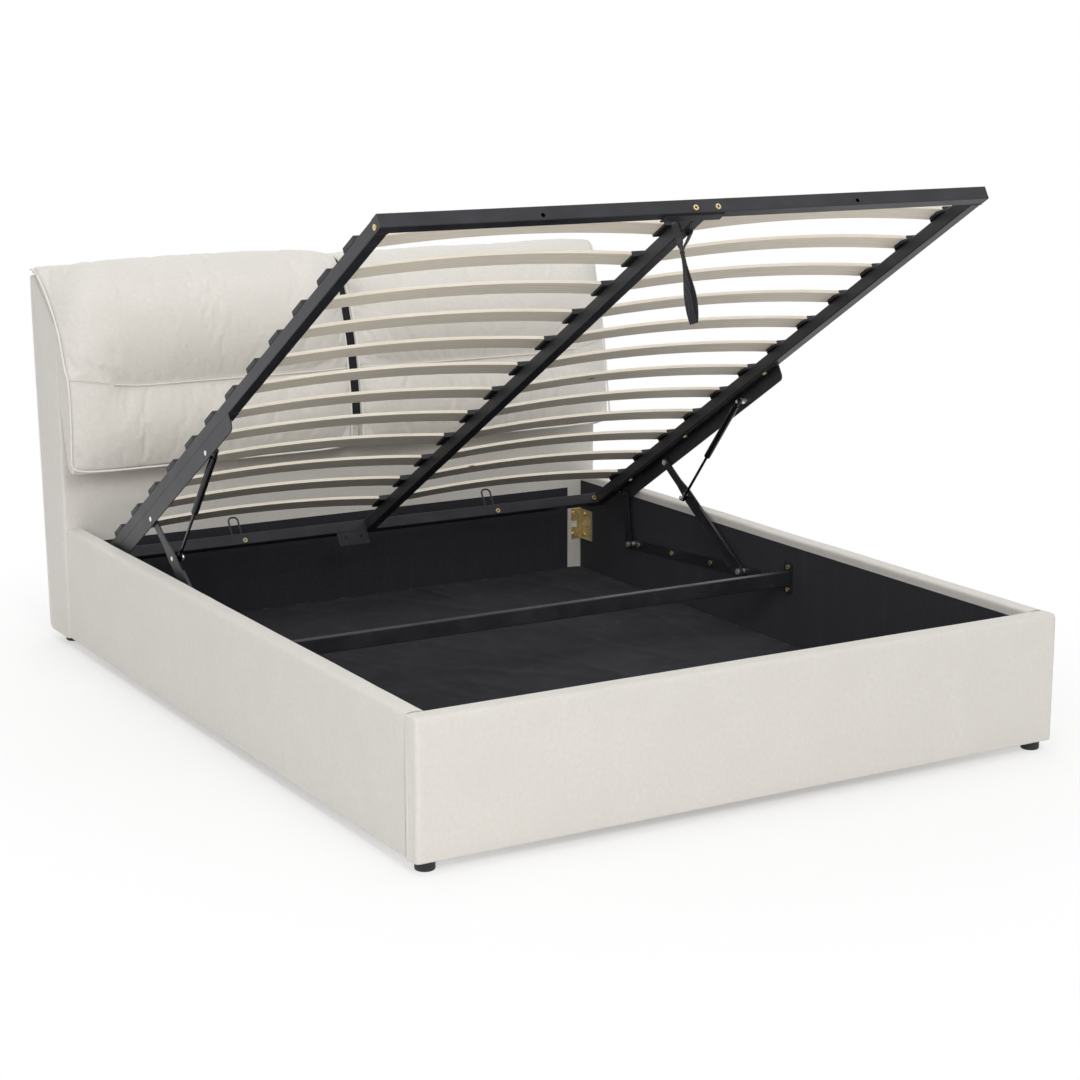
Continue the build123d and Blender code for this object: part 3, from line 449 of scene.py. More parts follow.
def rounded(corners):
    """Outline with its corners turned into arcs; corners is a list of (across, up, radius)."""
    outline = []
    count = len(corners)
    for k, (x, z, radius) in enumerate(corners):
        here = Vector((x, z))
        before = Vector(corners[k - 1][:2]) - here
        after = Vector(corners[(k + 1) % count][:2]) - here
        if radius <= 0:
            outline.append(here)
            continue
        half = before.angle(after) / 2
        reach = radius / math.tan(half)
        start = here + before.normalized() * reach
        end = here + after.normalized() * reach
        for cut in range(ARC_CUTS + 1):
            t = cut / ARC_CUTS
            outline.append(start * (1 - t) ** 2 + here * 2 * t * (1 - t) + end * t ** 2)
    return outline


def divided(outline, size):
    """The closed outline with its long straight stretches cut into steps."""
    points = []
    for k, here in enumerate(outline):
        after = outline[(k + 1) % len(outline)]
        count = max(1, round((after - here).length / size))
        points.extend(here.lerp(after, step / count) for step in range(count))
    return points


def ripple(point, size, height, seed=0.0):
    """Slow noise of about height, in metres, for cloth that isn't quite flat."""
    return noise.noise(Vector(point) / size + Vector((seed, seed * 0.7, -seed))) * height


def tube(name, points, radius, finish, body):
    """Round piping or thread along the points."""
    curve = bpy.data.curves.new(name, "CURVE")
    curve.dimensions = "3D"
    curve.bevel_depth = radius
    curve.bevel_resolution = 2
    curve.resolution_u = 3
    line = curve.splines.new("NURBS")
    line.points.add(len(points) - 1)
    for point, place in zip(line.points, points):
        point.co = (*place, 1)
    line.order_u = 3
    line.use_endpoint_u = True
    curve.use_fill_caps = True
    dressed(add_object(name, curve), finish, body)


# The upholstered rails
CLOTH_STEP = 20 * MM
side_low, side_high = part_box("side_cover_right")
foot_low, foot_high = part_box("footboard_cover")
lining_low, lining_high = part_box("side_lining_right")
board_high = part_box("side_board_right")[1]
TOP_ROUND = 13 * MM
INNER_ROUND = 9 * MM
HEM_ROUND = 5 * MM
FOOT_CORNER = 10 * MM
FOOT_PADDING = 18 * MM


def rail_outline(width, padding, strip):
    """Closed section of a rail's foam and cloth, from its outer face (0) to its inner one."""
    low, high = side_low.z, side_high.z
    under_foam = board_high.z
    corners = [
        (0, low, HEM_ROUND),
        (padding, low, 0),
        (padding, under_foam, 0),
        (width - strip, under_foam, 0),
        (width - strip, lining_high.z, 0),
        (width, lining_high.z, 0),
        (width, high, INNER_ROUND),
        (0, high, TOP_ROUND),
    ]
    return divided(rounded(corners), 22 * MM)


def swelling(z):
    """How far a stretched panel may stand out: none at its hem and its top edge."""
    middle = (side_low.z + side_high.z) / 2
    return 1 - ((z - middle) / (side_high.z - middle)) ** 4


def side_cover(side):
    name = SIDES[side]
    outline = rail_outline(side_high.x - side_low.x, side_high.x - board_high.x, lining_high.x - lining_low.x)
    rings = []
    for y in steps(side_low.y, side_high.y, CLOTH_STEP):
        ring = []
        for across, z in outline:
            x = side_high.x - across
            if across < 4 * MM:
                x += ripple((0, y, z), 0.3, 1.4 * MM, side) * swelling(z)
                x += ripple((0, y, z), 0.07, 0.5 * MM, side) * swelling(z)
            if z > side_high.z - 6 * MM:
                waves = ripple((x * side, y, 0), 0.3, 1.2 * MM, 3 + side)
                z += waves + ripple((0, y, 0), 0.09, 0.5 * MM, side)
            ring.append(Vector((side * x, y, z)))
        rings.append(ring)
    piece = new_piece(f"side_upholstery_{name}", *skin(rings), "upholstery", "base")
    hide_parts(f"side_cover_{name}")


for side in SIDES:
    side_cover(side)


def foot_cover():
    """The footboard's cloth: the same section run across, closed and rounded at its two ends."""
    width = foot_high.y - foot_low.y
    strip = 2 * MM
    outline = rail_outline(width, FOOT_PADDING, strip)
    near = 0.1 * MM
    half = foot_high.x
    solid_end = 12 * MM
    turns = [math.radians(angle) for angle in (0, 18, 36, 54, 72, 90)]
    ends = [(half - FOOT_CORNER * (1 - math.sin(a)), FOOT_CORNER * (1 - math.cos(a))) for a in turns]
    middle = steps(-half + solid_end, half - solid_end, CLOTH_STEP)
    places = [(-x, draw) for x, draw in reversed(ends)]
    places += [(middle[0] - 0.4 * MM, 0)] + [(x, 0) for x in middle] + [(middle[-1] + 0.4 * MM, 0)] + ends
    rings = []
    for x, draw in places:
        closed = abs(x) > half - solid_end + 0.2 * MM
        ring = []
        for across, z in outline:
            inner = FOOT_PADDING - near < across < width - strip + near and z <= board_high.z + near
            recess = across > width - strip - near and z <= lining_high.z + near
            if closed and (inner or recess):
                z = foot_low.z
            y = foot_low.y + across
            share = max(0, 1 - across / FOOT_PADDING)
            y += draw * share
            if z > foot_high.z - TOP_ROUND:
                z -= draw * 0.5
            if across < 4 * MM:
                waves = ripple((x, 0, z), 0.34, 1.6 * MM, 7) + ripple((x, 0, z), 0.07, 0.5 * MM, 5)
                y += waves * swelling(z)
            if z > foot_high.z - 6 * MM:
                z += ripple((x, y, 0), 0.3, 1.2 * MM, 11)
            ring.append(Vector((x, y, z)))
        rings.append(ring)
    piece = new_piece("footboard_upholstery", *skin(rings), "upholstery", "base")
    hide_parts("footboard_cover")


foot_cover()

# Sewn joins of the rails: where the footboard's cloth turns round its ends and meets the sides
for side, name in SIDES.items():
    out = side_high.x + 0.5 * MM
    join = [
        (side * out, side_low.y, side_low.z + 4 * MM),
        (side * out, side_low.y, side_high.z - TOP_ROUND),
        (side * (out - 4 * MM), side_low.y, side_high.z - 3 * MM),
        (side * (side_high.x - TOP_ROUND), side_low.y, side_high.z + 0.3 * MM),
        (side * (side_low.x + INNER_ROUND), side_low.y, side_high.z + 0.3 * MM),
        (side * (side_low.x + 1 * MM), side_low.y, side_high.z - 6 * MM),
    ]
    tube(f"footboard_join_{name}", join, 1.1 * MM, "seam", "base")
    seam_y = side_low.y - 9 * MM
    seam = [
        (side * out, seam_y, side_low.z + 4 * MM),
        (side * out, seam_y, side_high.z - TOP_ROUND),
        (side * (out - 5 * MM), seam_y, side_high.z - 3 * MM),
    ]
    tube(f"footboard_seam_{name}", seam, 0.8 * MM, "piping", "base")


# The headboard's shell, a raked box of cloth over foam
head_low, head_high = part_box("headboard_cover")
cushion_low, cushion_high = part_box("headboard_cushion_right")
HEAD_BACK_LOW = head_low.y + 145 * MM
CREST_FRONT = head_high.y - 36 * MM
SHOULDER = 885 * MM
FRONT_TURN = 26 * MM
EDGE_TURN = 5 * MM


def headboard_shell():
    """The cloth box: its upright front edges turn softly below the cushions."""
    half = head_high.x
    corners = [
        (head_low.y, head_low.z, 4 * MM),
        (head_low.y, SHOULDER, 12 * MM),
        (CREST_FRONT, head_high.z, 12 * MM),
        (head_high.y, head_high.z, 14 * MM),
        (HEAD_BACK_LOW, head_low.z, 20 * MM),
    ]
    outline = divided(rounded(corners), 26 * MM)
    turns = [math.radians(angle) for angle in (0, 15, 30, 45, 60, 75, 90)]
    back_turn = 6 * MM
    ends = [(half - back_turn * (1 - math.sin(a)), 1 - math.cos(a)) for a in turns]
    places = [(-x, share) for x, share in reversed(ends)]
    places += [(x, 0) for x in steps(-half + back_turn + 6 * MM, half - back_turn - 6 * MM, 34 * MM)]
    places += ends
    rings = []
    for x, share in places:
        ring = []
        for y, z in outline:
            under_cushion = min(1, max(0, (cushion_low.z + 20 * MM - z) / (60 * MM)))
            turn = EDGE_TURN + (FRONT_TURN - EDGE_TURN) * under_cushion
            place = Vector((x, y, z))
            if y < head_low.y + 1 * MM:
                place.y += turn * share
            elif y < CREST_FRONT:
                place.y += EDGE_TURN * share
            else:
                place.y -= EDGE_TURN * share
            if z > head_high.z - 2 * MM:
                place.z -= EDGE_TURN * share
            if y > HEAD_BACK_LOW - 2 * MM:
                place.y += ripple((x, 0, z), 0.35, 1.5 * MM, 21)
            if z < head_low.z + 1 * MM and y > head_low.y + 30 * MM:
                place.y -= 4 * MM * share
            ring.append(place)
        rings.append(ring)
    piece = new_piece("headboard_shell", *skin(rings), "upholstery", "base")
    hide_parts("headboard_cover")
    for side, name in SIDES.items():
        x = side * (half - 1 * MM)
        back = [
            (x, HEAD_BACK_LOW - 16 * MM, head_low.z + 3 * MM),
            (x, HEAD_BACK_LOW + 1 * MM, head_low.z + 24 * MM),
            (x, (HEAD_BACK_LOW + head_high.y) / 2, (head_low.z + head_high.z) / 2),
            (x, head_high.y - 3 * MM, head_high.z - 30 * MM),
            (x, head_high.y - 9 * MM, head_high.z - 4 * MM),
        ]
        tube(f"headboard_back_piping_{name}", back, 2.2 * MM, "piping", "base")
    seam_z = head_high.z - 16 * MM
    seam = [
        (-half + 8 * MM, head_high.y - 2 * MM, seam_z),
        (0, head_high.y, seam_z),
        (half - 8 * MM, head_high.y - 2 * MM, seam_z),
    ]
    tube("headboard_back_seam", seam, 1.0 * MM, "seam", "base")


headboard_shell()

# The headboard cushions: side views in millimetres at the sewn outer ends, at the ends beside
# the gap and at the fullest part, the left cushion under -1 and the right one under 1
INNER_END = cushion_low.x
OUTER_END = cushion_high.x
OUTER_VIEW = {
    -1: (
        (1134, 1016), (1124, 1024), (1092, 1026), (1021.8, 982), (954, 919), (912, 866), (886, 802),
        (868, 766), (853, 736), (845.5, 675), (846.5, 609), (851, 540), (856, 505), (897, 487),
    ),
    1: (
        (1134, 1018), (1122, 1028), (1088, 1031), (1010, 1036), (962, 1027), (944, 948), (919, 866),
        (903, 800), (890, 738), (877, 665), (867, 600), (858, 545), (856, 508), (897, 487),
    ),
}
INNER_VIEW = (
    (1134, 1014), (1122, 1024), (1088, 1029), (1005, 1034), (957, 1022), (936, 950), (907, 868),
    (884, 800), (870, 738), (861, 665), (853, 600), (853, 545), (856, 508), (897, 487),
)
FULL_VIEW = {
    -1: (
        (1134, 1018), (1124, 1032), (1086, 1044), (1027.7, 1052), (956.9, 1048), (872.2, 985),
        (836.2, 869.8), (828.3, 790), (848, 726), (823, 655), (822, 600), (838, 528), (853, 499), (897, 487),
    ),
    1: (
        (1134, 1016), (1124, 1024), (1086, 1029), (1016, 1036), (938, 1030), (872.2, 975),
        (836.2, 869.8), (828.3, 790), (848, 726), (823, 655), (822, 600), (838, 528), (853, 499), (897, 487),
    ),
}
CORNER_ROWS = 3
CORNER_TURN = 14 * MM
CREST_ROWS = 5
CHANNEL_ROW = 8
CHANNEL_FACE = 833
CHANNEL_HEIGHT = 752
CHANNEL_DIP = 26
BOTTOM_ROW = 12
BOTTOM_TURN = 36 * MM
# The cushions touch each other over the crest, and part below it
GAP_EASE = 2 * MM
TOUCH_FROM = 925 * MM
TOUCH_AT = 980 * MM
TOUCH_REACH = 11.5 * MM


def eased(share, power):
    return 1 - (1 - min(max(share, 0), 1)) ** power


def smooth(low, high, value):
    t = min(max((value - low) / (high - low), 0), 1)
    return t * t * (3 - 2 * t)


def arc_rise(share):
    share = min(max(share, 0), 1)
    return math.sqrt(1 - (1 - share) ** 2)


def cushion_keys(side, outside, slack):
    """Points round a cushion's front at the distance outside from its outer end, drawn in by slack."""
    inside = OUTER_END - INNER_END - outside
    past_edge = eased(outside / (190 * MM), 3.6)
    past_corner = arc_rise(outside / CORNER_TURN) * (0.72 + 0.28 * smooth(150 * MM, 320 * MM, outside))
    past_inner = eased(inside / (150 * MM), 3.0)
    valley = smooth(95 * MM, 165 * MM, outside)
    keys = []
    for row, full in enumerate(FULL_VIEW[side]):
        outer, inner = OUTER_VIEW[side][row], INNER_VIEW[row]
        past_outer = past_corner if row < CORNER_ROWS else past_edge
        y, z = [
            there + (at_outer - there) * (1 - past_outer) + (at_inner - there) * (1 - past_inner)
            for there, at_outer, at_inner in zip(full, outer, inner)
        ]
        share = past_outer * past_inner
        if row == CHANNEL_ROW:
            y += (1 - valley) * (CHANNEL_FACE - full[0]) * share
            z = CHANNEL_HEIGHT - CHANNEL_DIP * smooth(0, 210 * MM, outside)
        if 1 < row <= BOTTOM_ROW:
            y += slack / MM * share
            z -= slack / MM * share * (1 if row < CREST_ROWS else 0)
        keys.append(Vector((y, z)) * MM)
    return keys


def smooth_point(keys, place):
    """Catmull-Rom point at place, counted in keys."""
    k = min(int(place), len(keys) - 2)
    t = place - k
    a, b, c, d = keys[max(k - 1, 0)], keys[k], keys[k + 1], keys[min(k + 2, len(keys) - 1)]
    square = (2 * a - 5 * b + 4 * c - d) * t * t
    cube = (3 * b - a - 3 * c + d) * t ** 3
    return 0.5 * (2 * b + (c - a) * t + square + cube)


def cushion_point(side, share, place, slack=0.0):
    """Point of a cushion's front: share runs from its inner end to its outer end."""
    outside = (OUTER_END - INNER_END) * (1 - share)
    y, z = smooth_point(cushion_keys(side, outside, slack), place)
    above = z - cushion_low.z
    drawn = BOTTOM_TURN * (1 - arc_rise(above / BOTTOM_TURN)) if above < BOTTOM_TURN else 0
    low, high = INNER_END + GAP_EASE + drawn * 0.8, OUTER_END - drawn
    low -= TOUCH_REACH * smooth(TOUCH_FROM, TOUCH_AT, z)
    return Vector((side * (low + (high - low) * share), y, z))


SLACK = 9 * MM
PIPING = 2.8 * MM


def cushion_base(side):
    """The closed cushion before it is filled, a little slack."""
    columns = [0.5 - 0.5 * math.cos(math.pi * k / 70) for k in range(71)]
    columns = [0.55 * c + 0.45 * k / 70 for k, c in enumerate(columns)]
    rows = [k / 8 for k in range(8 * (len(INNER_VIEW) - 1) + 1)]
    face = head_low.y - 0.3 * MM
    back = (
        (face, cushion_low.z + 9 * MM),
        (face, 0.69),
        (face, SHOULDER),
        (CREST_FRONT, head_high.z + 0.6 * MM),
    )
    rings = []
    for share in columns:
        ring = [cushion_point(side, share, place, SLACK) for place in rows]
        lower, upper = ring[-1].x, ring[0].x
        ring += [Vector((lower if z < 0.6 else upper, y, z)) for y, z in back]
        rings.append(ring)
    vertices, faces = skin(rings)
    mesh = bpy.data.meshes.new("cushion_base")
    mesh.from_pydata([tuple(v) for v in vertices], [], faces)
    face_outward(mesh, cut_caps=True)
    return mesh


def seam_lines(side):
    """Sewn lines of a cushion as lists of points: outline, channel and stitched end of the channel."""
    rows = [k / 6 for k in range(6, 6 * BOTTOM_ROW + 1)]
    outer = [cushion_point(side, 1.0, place) for place in rows]
    bottom = [cushion_point(side, 1 - k / 60, BOTTOM_ROW) for k in range(1, 60)]
    inner = [cushion_point(side, 0.0, place) for place in reversed(rows)]
    channel_shares = [k / 60 for k in range(61)]
    start = 1 - 118 * MM / (OUTER_END - INNER_END)
    channel = [cushion_point(side, share, CHANNEL_ROW) for share in channel_shares if share < start]
    stitched = [cushion_point(side, share, CHANNEL_ROW) for share in channel_shares if share >= start]
    return outer + bottom + inner, channel, stitched


def tree_of(points):
    tree = KDTree(len(points))
    for index, point in enumerate(points):
        tree.insert(point, index)
    tree.balance()
    return tree


def dense(points, size):
    """The same line with points no further apart than size."""
    line = [Vector(points[0])]
    for here, after in zip(points, points[1:]):
        count = max(1, math.ceil((after - here).length / size))
        line.extend(here.lerp(after, k / count) for k in range(1, count + 1))
    return line


def evaluated(piece):
    """The piece's mesh with its modifiers applied."""
    graph = bpy.context.evaluated_depsgraph_get()
    return bpy.data.meshes.new_from_object(piece.evaluated_get(graph))


def take_mesh(piece, mesh):
    """Give the piece a finished mesh and drop its modifiers."""
    piece.modifiers.clear()
    old = piece.data
    piece.data = mesh
    bpy.data.meshes.remove(old)


def remesh(piece, size):
    voxels = piece.modifiers.new("voxels", "REMESH")
    voxels.mode = "VOXEL"
    voxels.voxel_size = size
    take_mesh(piece, evaluated(piece))
    soften = piece.modifiers.new("soften", "SMOOTH")
    soften.factor = 0.5
    soften.iterations = 4
    take_mesh(piece, evaluated(piece))


FILL_SETTINGS = {
    "vertex_group_mass": "held",
    "quality": 4,
    "mass": 0.25,
    "tension_stiffness": 18,
    "compression_stiffness": 12,
    "shear_stiffness": 8,
    "bending_stiffness": 0.6,
    "shrink_min": -0.012,
    "use_pressure": True,
    "uniform_pressure_force": 4.0,
}
FILL_FRAMES = 20
FILL_LIMIT = 24 * MM


def fill(piece, held):
    """Blow the piece up as a padded cloth: held vertices stay, none moves further than FILL_LIMIT."""
    group = piece.vertex_groups.new(name="held")
    group.add(held, 1.0, "REPLACE")
    start = [vertex.co.copy() for vertex in piece.data.vertices]
    cloth = piece.modifiers.new("filling", "CLOTH")
    for setting, value in FILL_SETTINGS.items():
        setattr(cloth.settings, setting, value)
    cloth.settings.effector_weights.gravity = 0
    cloth.point_cache.frame_start = 1
    cloth.point_cache.frame_end = FILL_FRAMES
    scene = bpy.context.scene
    for frame_number in range(1, FILL_FRAMES + 1):
        scene.frame_set(frame_number)
    mesh = evaluated(piece)
    take_mesh(piece, mesh)
    scene.frame_set(1)
    for vertex, before in zip(mesh.vertices, start):
        move = vertex.co - before
        if move.length > FILL_LIMIT:
            vertex.co = before + move.normalized() * FILL_LIMIT
    piece.vertex_groups.clear()


def bell(far, width):
    return math.exp(-(far / width) ** 2)


def folded(far, reach, start):
    """How strongly folds show at a distance from a seam: from none at it, up within start, down in reach."""
    return math.exp(-far / reach) * (1 - math.exp(-far / start))


def sew(piece, side, seed):
    """Sink the seams and add the small folds that run from them."""
    outline, channel, stitched = seam_lines(side)
    lines = [dense(line, 3 * MM) for line in (outline, channel, stitched)]
    trees = [tree_of(line) for line in lines]
    mesh = piece.data
    normals = [vertex.normal.copy() for vertex in mesh.vertices]
    for vertex, normal in zip(mesh.vertices, normals):
        place = vertex.co
        if place.y > head_low.y - 2 * MM and place.z < SHOULDER:
            continue
        push = 0.0
        _, index, far = trees[0].find(place)
        if far < 90 * MM:
            along = index * 3 * MM
            push -= 1.6 * MM * bell(far, 5 * MM)
            if normal.y < -0.25 or normal.z > 0.4:
                pleats = noise.noise(Vector((along / 0.017, far / 0.09, seed)))
                push += 1.5 * MM * pleats * folded(far, 24 * MM, 4 * MM)
                if place.z > 0.90 and abs(place.x) > 0.70:
                    folds = noise.noise(Vector((along / 0.022, far / 0.3, seed + 9)))
                    push += 3.2 * MM * folds * folded(far, 38 * MM, 6 * MM)
        _, index, far = trees[1].find(place)
        if far < 130 * MM and normal.y < -0.1:
            above = place.z > lines[1][index].z
            depth = 5.0 if above else 3.5
            push -= depth * MM * bell(far, 5.5 * MM)
            gathers = noise.noise(Vector((place.x / 0.034, far / 0.22, seed + 4)))
            reach = 52 * MM if above else 26 * MM
            size = 2.6 if above else 1.3
            push += size * MM * gathers * folded(far, reach, 7 * MM)
        _, index, far = trees[2].find(place)
        if far < 30 * MM and normal.y < -0.1:
            push -= 1.3 * MM * bell(far, 3.2 * MM)
            puckers = noise.noise(Vector((place.x / 0.012, far / 0.05, seed + 6)))
            push += 0.5 * MM * puckers * math.exp(-far / (11 * MM))
        push += ripple(place, 0.16, 1.6 * MM, seed) + ripple(place, 0.05, 0.35 * MM, seed)
        vertex.co = place + normal * push
    mesh.update()


def cushion(side):
    name = SIDES[side]
    seed = 3.0 + side
    mesh = cushion_base(side)
    piece = add_object(f"headboard_pillow_{name}", mesh)
    remesh(piece, 7 * MM)
    outline, channel, stitched = seam_lines(side)
    sewn = tree_of(dense(outline, 6 * MM))
    ribs = tree_of(dense(channel + stitched, 6 * MM))
    held = []
    for vertex in piece.data.vertices:
        place = vertex.co
        far = sewn.find(place)[2]
        rib = ribs.find(place)[2]
        resting = place.y > head_low.y - 6 * MM and place.z < SHOULDER
        slope = (place.y - head_low.y) * (head_high.z - SHOULDER) / (CREST_FRONT - head_low.y) + SHOULDER
        resting = resting or (place.z < slope + 8 * MM and place.y > head_low.y)
        resting = resting or (place.z < head_high.z + 6 * MM and place.y > CREST_FRONT)
        ends = abs(place.x) > OUTER_END - 3 * MM or abs(place.x) < INNER_END + 3 * MM
        if far < 9 * MM or rib < 13 * MM or resting or ends:
            held.append(vertex.index)
    fill(piece, held)
    finer = piece.modifiers.new("finer", "SUBSURF")
    finer.levels = 1
    finer.render_levels = 1
    take_mesh(piece, evaluated(piece))
    sew(piece, side, seed)
    for vertex in piece.data.vertices:
        place = vertex.co
        low = INNER_END - 2 * MM - 9 * MM * smooth(TOUCH_FROM, TOUCH_AT, place.z)
        place.x = side * min(max(side * place.x, low), OUTER_END + 1 * MM)
    piece.data.shade_smooth()
    piece.data.materials.clear()
    dressed(piece, "upholstery", "base")
    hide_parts(f"headboard_cushion_{name}")

    edge = []
    for point in outline[::4]:
        beside_gap = abs(point.x) < INNER_END + 20 * MM
        out = 3.4 if beside_gap else 0.6
        sunk = 5 * smooth(TOUCH_FROM, TOUCH_AT, point.z) if beside_gap else 0
        edge.append(point + Vector((side * out, sunk - 1.6, 0.2 - sunk)) * MM)
    tube(f"cushion_piping_{name}", edge, PIPING, "piping", "base")
    rib = [point + Vector((0, 2.2, -0.5)) * MM for point in channel[::3]]
    tube(f"channel_piping_{name}", rib, 2.0 * MM, "piping", "base")
    thread = [point + Vector((0, 1.0, 0)) * MM for point in stitched[::2]]
    tube(f"channel_stitching_{name}", thread, 0.7 * MM, "seam", "base")


for side in SIDES:
    cushion(side)


# The dark cloth between the cushions, down to this row of their side view, and cream cloth below
DARK_ROWS = 10.45


def gap_cloth(name, first_row, last_row, behind, finish, slot):
    width = 2 * (INNER_END + GAP_EASE) - 0.4 * MM
    rings = []
    for k in range(81):
        point = cushion_point(1, 0.0, first_row + (last_row - first_row) * k / 80)
        lower = 9 * MM * smooth(TOUCH_FROM, TOUCH_AT, point.z)
        y, z = point.y + behind, point.z - lower
        rings.append([
            Vector((-width / 2, y, z)),
            Vector((0, y - 1.5 * MM - ripple((0, 0, z), 0.05, 1.2 * MM), z)),
            Vector((width / 2, y, z)),
            Vector((width / 2, y + 1.5 * MM, z)),
            Vector((0, y + 0.4 * MM, z)),
            Vector((-width / 2, y + 1.5 * MM, z)),
        ])
    piece = new_piece(name, *skin(rings), finish, "base", slot=slot)
    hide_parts("gap_strip")


# The dark strip takes the darker lining copy, whose extra darkness is painted shade
gap_cloth("gap_cloth", 0.4, DARK_ROWS, 6 * MM, "floor_lining", "lining")
gap_cloth("gap_backing", DARK_ROWS - 0.15, 12.6, 22 * MM, "upholstery", "upholstery")


LINING_THICK = 0.8 * MM


def thin_cloth(name, place_of, across, along, drop, finish, node):
    """Closed thin cloth over a grid: place_of gives a point, and drop the way its back lies."""
    columns, rows = len(across), len(along)
    top = [place_of(a, b) for b in along for a in across]
    under = [point + drop * LINING_THICK for point in top]
    count = columns * rows
    faces = []
    for row in range(rows - 1):
        for column in range(columns - 1):
            k = row * columns + column
            faces.append((k, k + 1, k + columns + 1, k + columns))
            faces.append((count + k, count + k + columns, count + k + columns + 1, count + k + 1))
    rim = list(range(columns)) + [row * columns + columns - 1 for row in range(1, rows)]
    rim += [(rows - 1) * columns + column for column in range(columns - 2, -1, -1)]
    rim += [row * columns for row in range(rows - 2, 0, -1)]
    for here, after in zip(rim, rim[1:] + rim[:1]):
        faces.append((here, after, after + count, here + count))
    piece = new_piece(name, top + under, faces, finish, "base", slot="lining")
    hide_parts(node)


floor_low, floor_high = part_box("floor_lining")


def floor_place(x, y):
    rim = min(x - floor_low.x, floor_high.x - x, y - floor_low.y, floor_high.y - y)
    seed = Vector((x / 0.30, y / 0.42, 1.7))
    waves = max(0, noise.noise(seed)) * 3.5 * MM
    ridge = 1 - abs(noise.noise(Vector((x / 0.21, y / 0.55, 6.1)))) * 3.2
    creases = max(0, ridge) ** 3 * 3.0 * MM
    diagonal = 1 - abs(noise.noise(Vector(((x + 0.6 * y) / 0.26, (y - 0.3 * x) / 0.9, 3.3)))) * 4
    creases += max(0, diagonal) ** 4 * 2.6 * MM
    along = x if floor_high.y - y < 40 * MM else y
    scallop = 0.5 + 0.5 * math.sin(along / 0.019 + 3 * noise.noise(seed * 3))
    curl = 3.5 * MM * scallop * math.exp(-rim / (9 * MM))
    fold = 0.0
    if y > 0.62:
        line = 0.225 + 0.25 * (floor_high.y - y)
        fold = 7 * MM * bell(x - line, 9 * MM) * smooth(0.62, 0.90, y)
        fold += 3 * MM * bell(x - line - 0.045, 12 * MM) * smooth(0.70, 0.92, y)
    lift = (waves + creases) * smooth(0, 60 * MM, rim) + curl + fold * smooth(0, 8 * MM, rim)
    return Vector((x, y, floor_high.z - 0.6 * MM + lift))


# The floor cloth takes the darker lining copy, painted as the lid's shadow
thin_cloth(
    "floor_cloth", floor_place,
    steps(floor_low.x + 1 * MM, floor_high.x - 1 * MM, 11 * MM),
    steps(floor_low.y + 0.5 * MM, floor_high.y - 0.5 * MM, 11 * MM),
    Vector((0, 0, -1)), "floor_lining", "floor_lining",
)


def wall_ripple(a, b, seed):
    """Shallow waves of cloth stapled over a board."""
    waves = ripple((a, b, 0), 0.24, 0.5 * MM, seed) + ripple((a, b, 0), 0.05, 0.2 * MM, seed + 2)
    return waves + 0.35 * MM


for side, name in SIDES.items():

    def side_place(y, z, side=side):
        return Vector((side * (lining_low.x + wall_ripple(y, z, 31 * side)), y, z))

    thin_cloth(
        f"side_lining_cloth_{name}", side_place,
        steps(lining_low.y + 0.5 * MM, lining_high.y - 0.5 * MM, 22 * MM),
        steps(lining_low.z + 0.3 * MM, lining_high.z, 14 * MM),
        Vector((side, 0, 0)), "lining", f"side_lining_{name}",
    )

head_lining_low, head_lining_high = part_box("headboard_lining")


def head_place(x, z):
    return Vector((x, head_lining_low.y + wall_ripple(x, z, 12), z))


thin_cloth(
    "headboard_lining_cloth", head_place,
    steps(head_lining_low.x, head_lining_high.x, 20 * MM),
    steps(head_lining_low.z + 0.3 * MM, head_lining_high.z, 14 * MM),
    Vector((0, 1, 0)), "lining", "headboard_lining",
)
foot_lining_low, foot_lining_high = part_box("footboard_lining")


def foot_place(x, z):
    return Vector((x, foot_lining_high.y - wall_ripple(x, z, 17), z))


thin_cloth(
    "footboard_lining_cloth", foot_place,
    steps(foot_lining_low.x + 0.5 * MM, foot_lining_high.x - 0.5 * MM, 20 * MM),
    steps(foot_lining_low.z + 0.5 * MM, foot_lining_high.z, 14 * MM),
    Vector((0, -1, 0)), "lining", "footboard_lining",
)


# The lid's own frame: u runs from its head end, n out of the slats' side
LID_TILT = math.radians(31.2)
LID_ACROSS = Vector((0, math.sin(LID_TILT), math.cos(LID_TILT)))
LID_ALONG = Vector((0, -math.cos(LID_TILT), math.sin(LID_TILT)))
LID_CORNER = Vector((0, 796, 256.5)) * MM
TUBE_WIDTH = 30 * MM
TUBE_HEIGHT = 32 * MM
LID_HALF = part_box("foot_rail")[1].x
LID_LENGTH = 1985 * MM


def lid_place(x, u, n):
    return LID_CORNER + Vector((x, 0, 0)) + LID_ALONG * u + LID_ACROSS * n


# The pull strap: webbing hitched round the spine, with two strands that hang to a folded end
hang_low, hang_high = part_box("pull_strap")
WEB = 25 * MM
WEB_THICK = 1.6 * MM
KNOT = Vector(((hang_low.x + hang_high.x) / 2, hang_high.y - 6 * MM, hang_high.z - 6 * MM))


def ribbon(name, points, normals, widths, body):
    """Flat webbing through points; normals face out of its flat side and widths lie across it."""
    rings = []
    for point, normal, width in zip(points, normals, widths):
        half_thick = normal.normalized() * (WEB_THICK / 2)
        ring = []
        for share in (-1, -0.5, 0, 0.5, 1):
            ring.append(point + width * (share / 2) + half_thick * (0.75 if abs(share) == 1 else 1))
        for share in (1, 0.5, 0, -0.5, -1):
            ring.append(point + width * (share / 2) - half_thick * (0.75 if abs(share) == 1 else 1))
        rings.append(ring)
    return new_piece(name, *skin(rings), "webbing", body, sharp=math.radians(60))


